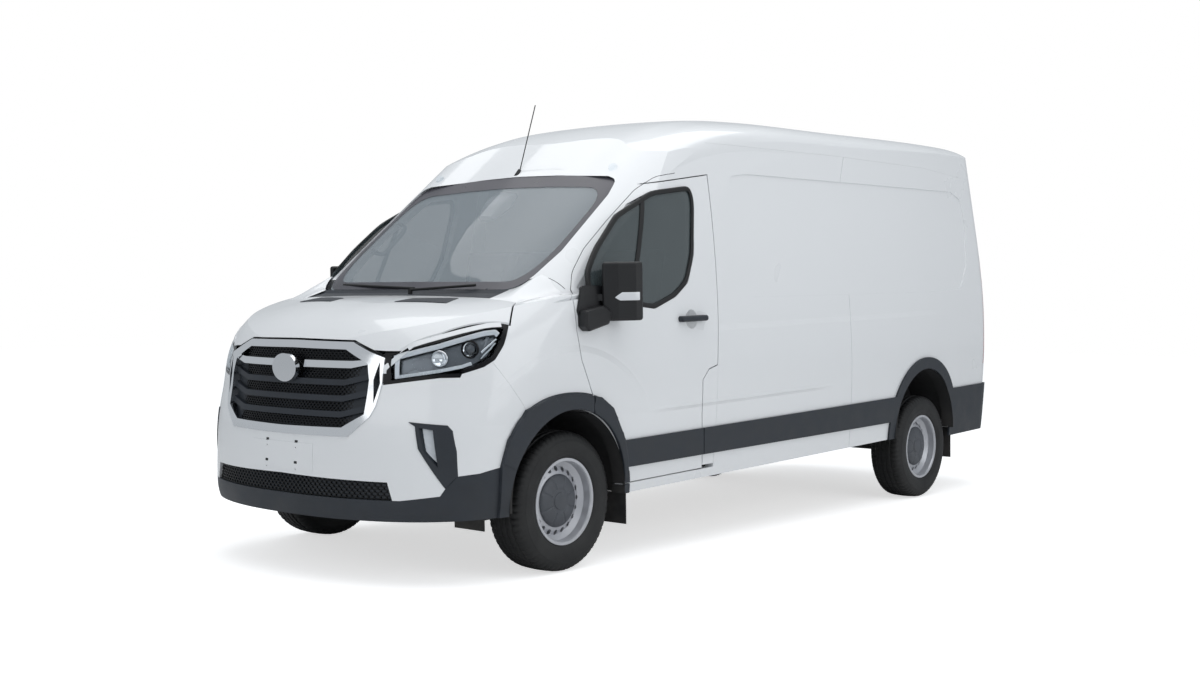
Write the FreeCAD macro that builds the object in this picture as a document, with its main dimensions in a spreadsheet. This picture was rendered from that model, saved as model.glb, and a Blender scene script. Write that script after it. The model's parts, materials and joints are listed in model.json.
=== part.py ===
import FreeCAD, Part
import math
import os
import re
import Sketcher
from FreeCAD import Placement, Rotation, Vector

# A long panel van with a medium-high roof, standing empty on its wheels.
# Millimetres: x to the van's own left, y to its rear, z up, the ground at z = 0.
# The body is drawn level and then tipped nose down about the front axle by its rake.

doc = FreeCAD.newDocument("PanelVan")

# Driving dimensions, each a cell with an alias

SIZES = {
    # stance
    "width": 2062, "wheel_base": 3760, "front_axle": -1955, "front_arch_y": -1964, "front_overhang": 1015,
    "rear_face": 2880, "rear_bumper_reach": 100, "rake": 1.7, "roof_height": 2412,
    # wheels
    "tyre_radius": 352, "tyre_width": 235, "rim_radius": 221, "front_track": 1734,
    "rear_track": 1726, "hub_bore": 30.5, "rim_holes": 20, "rim_hole": 13, "rim_hole_ring": 160,
    # body walls
    "wall": 55, "roof_wall": 45, "nose_wall": 40, "door_depth": 75, "bonnet_skin": 6,
    "bonnet_frame": 28, "bonnet_lip": 45, "pressing": 5, "groove": 4,
    # seams between panels, and the gap of a piece in its seat
    "seam": 5, "door_seam": 6, "bonnet_seam": 8, "bumper_seam": 1, "flap_gap": 0.8,
    "trim_gap": 0.5, "seat_gap": 0.3,
    # glass
    "glass": 5, "glass_inset": 8, "screen_inset": 4, "window_corner": 60,
    # heights along the side
    "sill_bottom": 340, "door_bottom": 390, "strip_bottom": 478, "strip_top": 620,
    "strip_depth": 14,
    # arches, cladding flares and wheel housings
    "front_arch": 430, "rear_arch": 415, "flare": 78, "arch_rise": 33, "rear_arch_rise": 130,
    "rear_arch_forward": 28, "liner_wall": 6, "liner_gap": 14, "front_liner_x": 560,
    "rear_liner_x": 690, "flap_wall": 6,
    # openings of the load space
    "rear_door_half": 790, "rear_door_sill": 600, "rear_door_top": 2262, "slide_front": -560,
    "slide_rear": 705, "slide_bottom": 480, "slide_top": 2150, "slide_corner": 60,
    # bonnet and windscreen
    "cowl_y": -2085, "cowl_z": 1392, "screen_run": 868, "screen_rise": 641, "bonnet_rear": -2190,
    # floors
    "floor_top": 590, "floor_plate": 40, "cab_floor_top": 640,
    # chassis rails, cross members and towing eye
    "rail_x": 430, "rail_wide": 80, "rail_bottom": 420, "rail_front": -2640, "rail_rear": 2780,
    "member_wide": 60, "member_low": 450, "member_top": 530, "tow_eye": 14, "tow_eye_y": 2768,
    "tow_eye_z": 230, "tow_plate": 20,
    # front suspension and steered uprights
    "arm_reach": 735, "upright_x": 724, "upright_wide": 68, "spindle_radius": 30,
    "strut_radius": 27, "subframe_low": 215, "subframe_top": 290, "subframe_half": 470,
    # rear axle and its springs
    "axle_tube": 45, "spring_x": 560, "spring_width": 70, "spring_half": 640, "leaf": 22,
    "spring_pad": 32,
    # engine, tank, exhaust and spare wheel
    "engine_left": 370, "engine_right": -300, "engine_front": -2480, "engine_rear": -2110,
    "engine_bottom": 470, "engine_top": 1120, "tank_half": 380, "tank_front": -1060,
    "tank_rear": -300, "tank_bottom": 290, "tank_edge": 30, "pipe_x": -580, "pipe_z": 400,
    "pipe_radius": 28, "silencer_radius": 95, "pipe_front": -1480, "silencer_front": 250,
    "silencer_rear": 900, "pipe_rear": 1120, "spare_radius": 340, "spare_high": 190,
    "spare_top": 412, "spare_y": 2330, "spare_edge": 50,
    # number plate's holes
    "plate_hole": 4, "plate_wide": 220, "plate_high": 104, "plate_z": 583,
    # lamps and grille
    "lamp_back": 9, "lamp_cover": 3.5, "badge_half": 90, "badge_high": 69, "badge_proud": 18,
    # cab
    "seat_width": 480, "bench_width": 940, "seat_x": 470, "bench_x": -400, "seat_front": -1360,
    "seat_length": 560, "seat_base_top": 930, "cushion_top": 1050, "wheel_rim_radius": 190,
}

sheet = doc.addObject("Spreadsheet::Sheet", "Sizes")
for row, (alias, value) in enumerate(SIZES.items(), start=1):
    sheet.set("A%d" % row, alias)
    sheet.set("B%d" % row, str(value))
    sheet.setAlias("B%d" % row, alias)
doc.recompute()


class Cells:
    """Reads a size from the sheet by its alias, as a plain number."""

    def __getattr__(self, alias):
        return float(sheet.get(alias))


size = Cells()

WIDE = 1300  # beyond the widest point of the van, either side
LONG = 3300  # beyond its nose and its tail
HIGH = 2600  # above its roof

half = size.width / 2
nose_y = size.front_axle - size.front_overhang
rear_axle = size.front_axle + size.wheel_base
stance = Placement(Vector(), Rotation(Vector(1, 0, 0), size.rake),
                   Vector(0, size.front_axle, size.tyre_radius))
left_right = (("left", 1), ("right", -1))
ALIAS = re.compile(r"\b(%s)\b" % "|".join(SIZES))


def level_point(y, z):
    """The place in the level body of a point given where the van stands."""
    return stance.inverse().multVec(Vector(0, y, z))


rear_hub = level_point(rear_axle, size.tyre_radius)


# Tools that cut and join plain shapes

def outline(points, closed=True):
    """A wire through points, straight from each to the next."""
    return Part.makePolygon(points + points[:1] if closed else points)


def side_prism(points, low, high):
    """A prism along x over an outline given as (y, z) points."""
    face = Part.Face(outline([Vector(low, y, z) for y, z in points]))
    return face.extrude(Vector(high - low, 0, 0))


def plan_prism(points, low, high):
    """A prism along z over an outline given as (x, y) points."""
    face = Part.Face(outline([Vector(x, y, low) for x, y in points]))
    return face.extrude(Vector(0, 0, high - low))


def front_prism(points, low, high):
    """A prism along y over an outline given as (x, z) points."""
    face = Part.Face(outline([Vector(x, low, z) for x, z in points]))
    return face.extrude(Vector(0, high - low, 0))


def block(x0, x1, y0, y1, z0, z1):
    return Part.makeBox(x1 - x0, y1 - y0, z1 - z0, Vector(x0, y0, z0))


def rod(start, end, radius):
    """A round bar between two points."""
    a, b = Vector(*start), Vector(*end)
    return Part.makeCylinder(radius, (b - a).Length, a, b - a)


def mirrored(shape):
    """The same shape on the other side of the van."""
    return shape.mirror(Vector(0, 0, 0), Vector(1, 0, 0))


def both(shape):
    return Part.makeCompound([shape, mirrored(shape)])


def joined(shapes):
    return shapes[0].fuse(shapes[1:]).removeSplitter()


def grown(points, by):
    """An outline moved outwards by a distance, its corners kept."""
    face = Part.Face(outline([Vector(a, b, 0) for a, b in points]))
    wire = face.makeOffset2D(by, 2).Wires[0]
    return [(v.Point.x, v.Point.y) for v in wire.OrderedVertexes]


pieces = {}


def keep(label, shape):
    """Stores a free-form piece as a document object that stands in the van's stance."""
    item = doc.addObject("Part::Feature", label)
    item.Label = label
    item.Shape = shape
    item.Placement = stance
    pieces[label] = item
    return item


# Document objects whose sizes are formulas over the sheet

def bind(item, prop, formula):
    """Ties a property to a formula in which the sheet's aliases stand by themselves."""
    item.setExpression(prop, ALIAS.sub(r"Sizes.\1", str(formula)))


def box(label, x, y, z):
    """A box between two formulas along each axis."""
    item = doc.addObject("Part::Box", label)
    for prop, axis, (low, high) in (("Length", "x", x), ("Width", "y", y), ("Height", "z", z)):
        bind(item, prop, "(%s) - (%s)" % (high, low))
        bind(item, "Placement.Base." + axis, low)
    return item


TURNS = {"x": Rotation(Vector(0, 1, 0), 90), "y": Rotation(Vector(1, 0, 0), -90), "z": Rotation()}


def bar(label, axis, start, length, radius):
    """A round bar along an axis from a point given by three formulas."""
    item = doc.addObject("Part::Cylinder", label)
    item.Placement = Placement(Vector(), TURNS[axis])
    bind(item, "Radius", radius)
    bind(item, "Height", length)
    for name, formula in zip("xyz", start):
        bind(item, "Placement.Base." + name, formula)
    return item


def softened(label, source, radius):
    """A box or a disc with all its edges rounded."""
    doc.recompute()
    item = doc.addObject("Part::Fillet", label)
    item.Base = source
    item.Edges = [(i + 1, radius, radius) for i in range(len(source.Shape.Edges))]
    return item


def fused(label, items):
    item = doc.addObject("Part::MultiFuse", label)
    item.Shapes = items
    item.Refine = True
    return item


def opposite(label, source):
    """The same object on the other side of the van."""
    item = doc.addObject("Part::Mirroring", label)
    item.Source = source
    item.Normal = Vector(1, 0, 0)
    return item


def assemble(label, items, placement=stance):
    """Gathers objects into one named piece that stands in the van's stance."""
    item = doc.addObject("Part::Compound", label)
    item.Links = items
    item.Placement = placement
    item.Label = label
    pieces[label] = item
    return item


def solid_feature(label, shape):
    """A shape that no primitive makes, as an object to be gathered into a piece."""
    item = doc.addObject("Part::Feature", label)
    item.Shape = shape
    return item


# The outer skin: three lofts, whose common part is the body

PLAN_LEVELS = (  # height, tuck from full width, nose set back, depth of the nose's curve
    (280, 46, 70, 640), (420, 31, 20, 660), (600, 16, 28, 680), (800, 3, 45, 720),
    (1000, 0, 80, 760), (1180, 5, 140, 800), (1300, 13, 255, 850), (1420, 25, 410, 900),
    (1700, 61, 800, 960), (2000, 106, 1220, 1000), (2250, 144, 1570, 1000),
    (2500, 181, 1920, 1000))
NOSE_SHARES = (0.2, 0.4, 0.6, 0.75, 0.87, 0.95, 0.99)
NOSE_POWERS = (2.3, 2.4)
REAR_CORNER = 200
REAR_TAPER = 30
TAPER_START = 400


def nose_setback(share):
    """How far back the nose has curved at a share of the half width, from 0 to 1."""
    across, along = NOSE_POWERS
    return 1 - (1 - share ** across) ** (1 / along)


def plan_chain(level, inset):
    """The plan outline at one level, from the right rear round the nose to the left rear."""
    z, tuck, back, depth = level
    wide = half - tuck - inset
    tip = nose_y + back + inset
    side_end = size.rear_face - inset - (REAR_CORNER - inset * 0.6)
    pts = [(0.0, tip)]
    pts += [(wide * s, tip + depth * nose_setback(s)) for s in NOSE_SHARES]
    start = tip + depth
    for share in (0.0, 0.2, 0.45, 0.7, 1.0):
        y = start + (side_end - start) * share
        taper = REAR_TAPER * max(0.0, (y - TAPER_START) / (side_end - TAPER_START)) ** 2
        pts.append((wide - taper, y))
    left = [Vector(x, y, z) for x, y in pts]
    right = [Vector(-v.x, v.y, z) for v in left[:0:-1]]
    return right + left


def chord_parameters(chain):
    """One parameter a point, spaced by the square root of its distance."""
    marks = [0.0]
    for a, b in zip(chain, chain[1:]):
        marks.append(marks[-1] + math.sqrt(a.distanceToPoint(b)))
    return [m / marks[-1] for m in marks]


def plan_loft(inset):
    """The body seen from above, level on level."""
    marks = chord_parameters(plan_chain(PLAN_LEVELS[4], inset))
    wires = []
    for level in PLAN_LEVELS:
        chain = plan_chain(level, inset)
        side = Part.BSplineCurve()
        side.interpolate(Points=chain, Parameters=marks)
        last, first = chain[-1], chain[0]
        z = last.z
        rear = size.rear_face - inset
        corner = rear - last.y
        bow = corner * math.sqrt(0.5)
        turn = Vector(last.x - corner + bow, last.y + bow, z)
        turned = Vector(last.x - corner, rear, z)
        edges = (side, Part.Arc(last, turn, turned),
                 Part.LineSegment(turned, Vector(-turned.x, rear, z)),
                 Part.Arc(Vector(-turned.x, rear, z), Vector(-turn.x, turn.y, z), first))
        wires.append(Part.Wire([e.toShape() for e in edges]))
    return Part.makeLoft(wires, True, False)


ROOF_STATIONS = (  # y, crown below the roof's height, shoulder below its crown, half width
    (-3300, 700, 140, 1090), (-2400, 800, 140, 985), (-2000, 640, 140, 960),
    (-1600, 470, 150, 942), (-1350, 372, 160, 925), (-1217, 312, 170, 917),
    (-1080, 240, 185, 910), (-900, 158, 200, 903), (-600, 64, 215, 898), (-250, 16, 220, 896),
    (100, 2, 221, 895), (900, 0, 222, 895), (1700, 0, 222, 893), (2300, 2, 222, 888),
    (2600, 8, 222, 882), (2800, 27, 220, 872), (2900, 60, 220, 862), (2980, 120, 210, 850))
ROOF_POWER = 3.0
ROOF_ANGLES = (0, 14, 28, 42, 56, 70, 90)
ROOF_FOOT = 200
ROOF_FLARE = 0.18


def roof_loft(inset):
    """The body seen from its end, station on station, with its rounded shoulders."""
    wires = []
    for y, drop, shoulder, wide in ROOF_STATIONS:
        crown = size.roof_height - drop - inset
        low = crown - shoulder
        edge = wide - inset
        left = []
        for angle in ROOF_ANGLES:
            a = math.radians(angle)
            x = edge * math.cos(a) ** (2 / ROOF_POWER) if angle < 90 else 0.0
            left.append(Vector(x, y, low + shoulder * math.sin(a) ** (2 / ROOF_POWER)))
        chain = left + [Vector(-v.x, y, v.z) for v in left[-2::-1]]
        arch = Part.BSplineCurve()
        arch.interpolate(Points=chain,
                         Parameters=[i / (len(chain) - 1) for i in range(len(chain))])
        foot = edge + ROOF_FLARE * (low - ROOF_FOOT)
        feet = Vector(foot, y, ROOF_FOOT), Vector(-foot, y, ROOF_FOOT)
        edges = (arch, Part.LineSegment(chain[-1], feet[1]), Part.LineSegment(feet[1], feet[0]),
                 Part.LineSegment(feet[0], chain[0]))
        wires.append(Part.Wire([e.toShape() for e in edges]))
    return Part.makeLoft(wires, True, False)


TOP_STATIONS = (-1100, -1000, -920, -820, -500, 0, 500, 820, 920, 1000, 1100)
SCREEN_SWEEP = 110
PILLAR_ROUND = 15000
PILLAR_START = 0.82
TOP_CROWN = 28
BONNET_FALL = 95
TOP_BACK = 3300
BONNET_LINE = (  # back of the cowl and below it, from the nose to the cowl
    (-1115, -692), (-925, -442), (-815, -297), (-685, -170), (-515, -84), (-265, -30))


def screen_foot(x, inset):
    """Where the screen meets the bonnet at one distance from the middle."""
    u = abs(x) / 1000
    sweep = SCREEN_SWEEP * u ** 2.4 + PILLAR_ROUND * max(0.0, u - PILLAR_START) ** 2
    return Vector(x, size.cowl_y + sweep + inset * 0.6,
                  size.cowl_z - TOP_CROWN * 0.3 * u ** 2 - inset * 0.65)


def top_loft(inset):
    """The bonnet and the screen seen from the side, curved across the van."""
    wires = []
    for x in TOP_STATIONS:
        u = abs(x) / 1000
        sweep = SCREEN_SWEEP * u ** 2.4 * 0.6
        fall = BONNET_FALL * u ** 2.6
        pts = []
        for back, below in BONNET_LINE:
            share = min(1.4, max(0.25, -back / 515))
            pts.append(Vector(x, size.cowl_y + back + sweep + inset * 0.3,
                              size.cowl_z + below - inset - fall * share))
        foot = screen_foot(x, inset)
        bonnet = Part.BSplineCurve()
        bonnet.interpolate(pts + [foot])
        head = Vector(x, foot.y + size.screen_run * 1.9, foot.z + size.screen_rise * 1.9)
        corners = [head, Vector(x, TOP_BACK, head.z), Vector(x, TOP_BACK, 100),
                   Vector(x, pts[0].y, 100), pts[0]]
        edges = [bonnet, Part.LineSegment(foot, head)]
        edges += [Part.LineSegment(a, b) for a, b in zip(corners, corners[1:])]
        wires.append(Part.Wire([e.toShape() for e in edges]))
    return Part.makeLoft(wires, True, False)


outer = plan_loft(0).common(roof_loft(0)).common(top_loft(0))
inner = plan_loft(size.wall).common(roof_loft(size.roof_wall)).common(top_loft(size.nose_wall))
shell = outer.cut(inner)
trim_band = block(-WIDE, WIDE, -LONG, LONG, 200, 950)
snug = plan_loft(-size.seat_gap)
trim_skin = plan_loft(-size.strip_depth).common(trim_band).cut(snug)
pressed_core = plan_loft(size.pressing)


def rounded(points, radius):
    """A closed wire through points given in one plane, each corner an arc."""
    count = len(points)
    starts, ends, mids = [], [], []
    for i, corner in enumerate(points):
        before = points[i - 1] - corner
        after = points[(i + 1) % count] - corner
        half_turn = before.getAngle(after) / 2
        length = radius / math.tan(half_turn)
        length = min(length, before.Length * 0.45, after.Length * 0.45)
        reach = length * math.tan(half_turn)
        before.normalize()
        after.normalize()
        middle = (before + after).normalize()
        centre = corner + middle * (reach / math.sin(half_turn))
        starts.append(corner + before * length)
        ends.append(corner + after * length)
        mids.append(centre - middle * reach)
    edges = []
    for i in range(count):
        edges.append(Part.Arc(starts[i], mids[i], ends[i]).toShape())
        edges.append(Part.LineSegment(ends[i], starts[(i + 1) % count]).toShape())
    return Part.Wire(edges)


def round_side_prism(points, radius, low, high):
    face = Part.Face(rounded([Vector(low, y, z) for y, z in points], radius))
    return face.extrude(Vector(high - low, 0, 0))


def round_front_prism(points, radius, low, high):
    face = Part.Face(rounded([Vector(x, low, z) for x, z in points], radius))
    return face.extrude(Vector(0, high - low, 0))


def round_plan_prism(points, radius, low, high):
    face = Part.Face(rounded([Vector(x, y, low) for x, y in points], radius))
    return face.extrude(Vector(0, 0, high - low))


def main_solids(shape, count):
    """The largest solids of a cut shape, without the chips that cutting leaves."""
    found = sorted(shape.Solids, key=lambda s: s.Volume)[-count:]
    return found[0] if count == 1 else Part.makeCompound(found)


def only(shape, tool):
    return main_solids(shape.common(tool), 1)


# Arches

arch_z = size.tyre_radius + size.arch_rise
rear_arch_y = rear_hub.y - size.rear_arch_forward
rear_arch_z = rear_hub.z + size.rear_arch_rise


def arch_tool(y, z, radius, low, high):
    """A wheel opening: a round top with legs straight down."""
    top = Part.makeCylinder(radius, high - low, Vector(low, y, z), Vector(1, 0, 0))
    return top.fuse(block(low, high, y - radius, y + radius, z - 600, z))


front_arch = arch_tool(size.front_arch_y, arch_z, size.front_arch, -WIDE, WIDE)
rear_arch = arch_tool(rear_arch_y, rear_arch_z, size.rear_arch, -WIDE, WIDE)
arches = front_arch.fuse(rear_arch)
FRONT_FLARE = [(-2450, 340), (-2443, 587), (-2406, 707), (-2297, 840), (-2124, 889),
               (-1902, 889), (-1746, 860), (-1649, 797), (-1541, 621), (-1490, 406), (-1488, 340)]
front_flare = side_prism(FRONT_FLARE, -WIDE, WIDE)
rear_flare = arch_tool(rear_arch_y, rear_arch_z, size.rear_arch + size.flare, -WIDE, WIDE)

# Outlines of the side, as (y, z) points of the level body

B_SEAM = [(-731, 200), (-715, 960), (-639, 2028), (-598, 2332), (-590, 2600)]
DOOR_FRONT = [(-1265, 1950), (-1558, 1780), (-1749, 1626), (-1900, 1491), (-1921, 1403),
              (-1915, 1205), (-1887, 1055), (-1806, 875), (-1806, 740)]
FILLER = [(-829, 410), (-857, 700), (-857, 885), (-800, 940), (-715, 960)]
door_outline = DOOR_FRONT + [(-1560, size.door_bottom), (FILLER[0][0], size.door_bottom)]
door_outline += FILLER[1:] + [(-639, 2028)]
filler_outline = FILLER + [(-728, 410)]
WINDOW = [(-1458, 1787), (-1658, 1624), (-1785, 1490), (-1800, 1400), (-1716, 1345), (-1270, 1289),
          (-1077, 1348), (-956, 1421), (-874, 1573), (-808, 1878), (-825, 1955), (-1155, 1918)]
BUMPER_SIDE = [(-LONG, size.sill_bottom), (-2250, size.sill_bottom), (-2290, 840), (-2440, 1060),
               (-2480, 1135), (-LONG, 1135)]
FENDER_SIDE = BUMPER_SIDE[1:5] + [(-2480, 1500), (-2230, 1500), (-2091, 1455), (-1923, 1462)]
FENDER_SIDE += DOOR_FRONT[4:] + [(-1806, size.sill_bottom)]
GUTTER = [(-LONG, 2215), (-620, 2208), (800, 2200), (2000, 2175), (2706, 2119), (LONG, 2070)]
PRESSING = [(-434, 2025), (-268, 2043), (2383, 2020), (2530, 1966), (2545, 1784), (2493, 1492),
            (2363, 1328), (1864, 1310), (-348, 1330), (-565, 1363)]
SLIDE_PRESSING = [(-490, 2040), (640, 2040), (640, 1325), (-520, 1340)]
MID_SEAM = [(969, 2331), (811, 2048), (783, 1664), (745, 1309), (747, 1094), (765, 615), (775, 340)]

# Outlines of the nose, as (x, z) points, and of the bonnet, as (x, y) points

BONNET_PLAN = [(0, -2860), (415, -2845), (600, -2768), (763, -2597), (911, -2377), (950, -2318),
               (900, -2232), (880, size.bonnet_rear)]
BONNET_FOOT = [(0, 1187), (390, 1183), (513, 1138), (575, 1134), (1200, 1134)]
GRILLE = [(0, 1179), (388, 1175), (507, 1128), (582, 1103), (587, 986), (566, 875), (545, 828),
          (436, 733), (0, 730)]
GRILLE_INNER = [(0, 1143), (364, 1139), (503, 1075), (521, 1000), (515, 840), (400, 775), (0, 770)]
WING_SLOT = [(563, 1086), (577, 986), (554, 890), (543, 1000)]
CHROME_BAR = [(106, 1052), (410, 1052), (520, 1074), (520, 1094), (410, 1086), (106, 1086)]
GRILLE_BARS = (833, 907, 983)  # heights of the middles of the dark bars
LAMP_FRONT = [(570, 1100), (575, 1160), (767, 1240), (906, 1290), (1100, 1330), (1100, 1008),
              (819, 1008), (588, 976)]
LAMP_SIDE = [(-LONG, 900), (-2640, 900), (-2577, 1025), (-2488, 1054), (-2435, 1085),
             (-2379, 1153), (-2326, 1242), (-2322, 1400), (-LONG, 1400)]
LAMP_OPEN_FRONT = [(606, 1112), (782, 1172), (907, 1230), (1100, 1250), (1100, 1027), (817, 1027),
                   (623, 998)]
LAMP_OPEN_SIDE = [(-LONG, 930), (-2630, 930), (-2568, 1044), (-2505, 1068), (-2446, 1101),
                  (-2404, 1156), (-2356, 1228), (-2352, 1400), (-LONG, 1400)]
FOG = [(723, 808), (868, 790), (886, 764), (902, 667), (906, 552), (869, 497), (771, 684),
       (753, 787)]
FOG_LENS = [(770, 780), (822, 769), (845, 597), (790, 672)]
INTAKE = [(0, 538), (642, 527), (668, 436), (0, 436)]
SKIRT_TOP = [(0, 443), (700, 442), (850, 462), (869, 500), (905, 552), (960, 560), (1010, 588),
             (WIDE, 600)]
SCREEN = [(0, 1407), (700, 1405), (765, 1465), (792, 1600), (780, 1900), (755, 1985), (690, 2006),
          (300, 2030), (0, 2036)]


def both_sides(points):
    """An outline given for the left half, closed over the middle."""
    return points + [(-a, b) for a, b in points[::-1] if a]


def above_nose(points, by):
    """The space above the grille and the lamps in which the bonnet lies."""
    low = [(x, z + by) for x, z in points]
    ring = [(-x, z) for x, z in low[::-1]] + low[1:] + [(1200, 1700), (-1200, 1700)]
    return front_prism(ring, -LONG, -2000)


def nose_prism(points):
    return front_prism(points, -LONG, -2600)


def lamp_prism(front, side, by):
    """The left headlamp's space: an outline from the front and one from the side."""
    return front_prism(grown(front, by), -LONG, -2250).common(
        side_prism(grown(side, by), 500, WIDE))


bonnet_tool = plan_prism(both_sides(BONNET_PLAN), 1100, 1700).common(above_nose(BONNET_FOOT, 0))
bonnet_hole = plan_prism(grown(both_sides(BONNET_PLAN), size.bonnet_seam), 1100, 1700)
bonnet_hole = bonnet_hole.common(above_nose(BONNET_FOOT, -size.bonnet_seam))
grille_hole = nose_prism(both_sides(GRILLE))
lamp_hole = lamp_prism(LAMP_FRONT, LAMP_SIDE, 0)
fog_hole = both(nose_prism(FOG))
intake_hole = nose_prism(both_sides(INTAKE))
screen_hole = round_front_prism(both_sides(SCREEN), size.window_corner, -2350, -1100)
cowl_zone = block(-905, 905, size.bonnet_rear, -1900, 1250, 1405)
DOOR_INSIDE = [(half - 46 - size.door_depth, 280), (half - size.door_depth, 900),
               (half - size.door_depth, 1100), (half - 61 - size.door_depth, 1700),
               (half - 112 - size.door_depth, 2040), (WIDE, 2040), (WIDE, 280)]
door_inside = front_prism(DOOR_INSIDE, -2200, 0)
door_zone = side_prism(door_outline, 600, WIDE).common(door_inside)
door_hole = both(door_zone)

# Front of the body

front_zone = side_prism([(-LONG, 0), (-731, 0)] + B_SEAM + [(-LONG, HIGH)], -WIDE, WIDE)
nose = outer.common(block(-WIDE, WIDE, -LONG, -2300, 300, 1500))
nose_core = inner.common(block(-WIDE, WIDE, -LONG, -2250, 300, 1500))
front_shell = shell.common(front_zone)
front_open = front_shell.cut(screen_hole)
for hole in (door_hole, arches, bonnet_hole, grille_hole, both(lamp_hole), fog_hole):
    front_open = front_open.cut(hole)


def nose_layer(front, back, tool):
    """A sheet that follows the nose, between two depths behind its skin."""
    sheet_shape = nose.translated(Vector(0, front, 0)).common(tool)
    return sheet_shape.cut(nose.translated(Vector(0, back, 0)))


def below_line(points, by):
    """The space under a line across the nose, given for its left half."""
    ring = [(x, z + by) for x, z in points]
    ring += [(WIDE, 0), (-WIDE, 0)] + [(-x, z) for x, z in ring[:0:-1]]
    return front_prism(ring, -LONG, -2000)


bumper = front_open.common(side_prism(BUMPER_SIDE, -WIDE, WIDE))
plate_holes = [
    Part.makeCylinder(size.plate_hole, 300, Vector(sx * size.plate_wide / 2, -3100,
                      size.plate_z + sz * size.plate_high / 2), Vector(0, 1, 0))
    for sx in (-1, 1) for sz in (-1, 1)]
plate_tool = Part.makeCompound(plate_holes)
plate_tool.Placement = stance.inverse()
plate_panel = nose_layer(-3, 20, block(-228, 228, -LONG, -2700, 556, 690))
upper_bumper = bumper.cut([below_line(SKIRT_TOP, 0), intake_hole]).fuse(plate_panel)
keep("front_bumper", main_solids(upper_bumper.cut(plate_tool), 1))
skirt = main_solids(bumper.common(below_line(SKIRT_TOP, -size.trim_gap)), 1)
fender_zone = side_prism(FENDER_SIDE, -WIDE, WIDE)
bumper_zone = side_prism(grown(BUMPER_SIDE, size.bumper_seam), -WIDE, WIDE)
keep("fenders", main_solids(front_open.common(fender_zone).cut([cowl_zone, bumper_zone]), 2))
bonnet_space = block(-1100, 1100, -2950, size.bonnet_rear, 1120, 1450)
bonnet_block = outer.common(bonnet_space)
bonnet_core = top_loft(size.bonnet_skin).common(pressed_core.common(bonnet_space))
bonnet_skin = bonnet_block.cut(bonnet_core).common(bonnet_tool)
bonnet_inside = plan_prism(grown(both_sides(BONNET_PLAN), -size.bonnet_lip), 1100, 1700)
bonnet_inside = bonnet_inside.common(above_nose(BONNET_FOOT, size.bonnet_seam))
bonnet_frame = bonnet_block.cut(top_loft(size.bonnet_frame)).common(bonnet_inside)
keep("bonnet", main_solids(bonnet_skin.fuse(bonnet_frame), 1))
keep("cowl", main_solids(front_open.common(cowl_zone), 1))
cab_zone = block(-WIDE, WIDE, -2300, 0, 1380, HIGH).cut([fender_zone, cowl_zone])
keep("cab_roof", main_solids(front_open.common(cab_zone), 1))
sill_zone = block(-WIDE, WIDE, -1560, -600, size.sill_bottom, size.door_bottom - size.trim_gap)
filler_zone = side_prism(filler_outline, 600, WIDE)

# Doors of the cab, each with its glass

HINGE_X = half + 4
HINGE_Y = -1915
door_tool = side_prism(grown(door_outline, -size.door_seam), 600, WIDE)
window_tool = round_side_prism(WINDOW, size.window_corner, 600, WIDE)
SWING = [(0, 300), (1193, 300), (1193, 960), (1272, 2028), (1272, 2100), (0, 2100)]
swing_face = Part.Face(outline([Vector(HINGE_X, HINGE_Y + r, z) for r, z in SWING]))
swing = swing_face.revolve(Vector(HINGE_X, HINGE_Y, 0), Vector(0, 0, 1), 360)
GRIP_Y, GRIP_Z = -950, 1228
dish = Part.makeSphere(80, Vector(half + 52, GRIP_Y, GRIP_Z))
door_shell = shell.common(door_tool).common(door_inside).common(swing)
door = only(door_shell.cut([window_tool, front_arch, dish]), block(500, WIDE, -2100, 0, 200, 2200))
keep("door_left", door)
keep("door_right", mirrored(door))


def skin_x(y, z, inset):
    """The half width of the plan outline at a place on the side."""
    levels = PLAN_LEVELS
    for low, high in zip(levels, levels[1:]):
        if z <= high[0]:
            break
    share = (z - low[0]) / (high[0] - low[0])
    tuck, back, depth = (a + (b - a) * share for a, b in zip(low[1:], high[1:]))
    wide = half - tuck - inset
    along = min(0.98, (nose_y + back + depth - y) / depth)
    if along <= 0:
        return wide
    across, power = NOSE_POWERS
    return wide * (1 - along ** power) ** (1 / across)


def side_pane(points, radius, inset, thick):
    """A curved pane behind the side skin, cut to an outline."""
    ys = [min(p[0] for p in points) + i * (max(p[0] for p in points)
          - min(p[0] for p in points)) / 6 for i in range(7)]
    zs = [1200 + i * 140 for i in range(7)]
    surface = Part.BSplineSurface()
    surface.interpolate([[Vector(skin_x(y, z, inset), y, z) for z in zs] for y in ys])
    slab = surface.toShape().extrude(Vector(-thick, 0, 0))
    return only(slab, round_side_prism(points, radius, 500, WIDE))


pane_corner = size.window_corner - size.seat_gap
pane = side_pane(grown(WINDOW, -size.seat_gap), pane_corner, size.glass_inset, size.glass)
keep("door_glass_left", pane)
keep("door_glass_right", mirrored(pane))

# Windscreen

def screen_pane():
    """The curved windscreen: thin slats across the van lofted into one pane."""
    wires = []
    for x in (-900, -820, -500, 0, 500, 820, 900):
        corners = []
        for inset in (size.screen_inset, size.screen_inset + size.glass):
            foot = screen_foot(x, inset)
            far = Vector(x, foot.y + size.screen_run * 1.2, foot.z + size.screen_rise * 1.2)
            near = Vector(x, foot.y - size.screen_run * 0.1, foot.z - size.screen_rise * 0.1)
            corners.append((near, far))
        (a, b), (c, d) = corners
        wires.append(outline([a, b, d, c]))
    loft = Part.makeLoft(wires, True, False)
    ring = grown(both_sides(SCREEN), -size.seat_gap)
    tool = Part.Face(rounded([Vector(x, -2350, z) for x, z in ring], pane_corner))
    return only(loft, tool.extrude(Vector(0, WIDE, 0)))


windscreen = screen_pane()
keep("windscreen", windscreen)

# Sides, roof and rear doors of the load space

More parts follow.
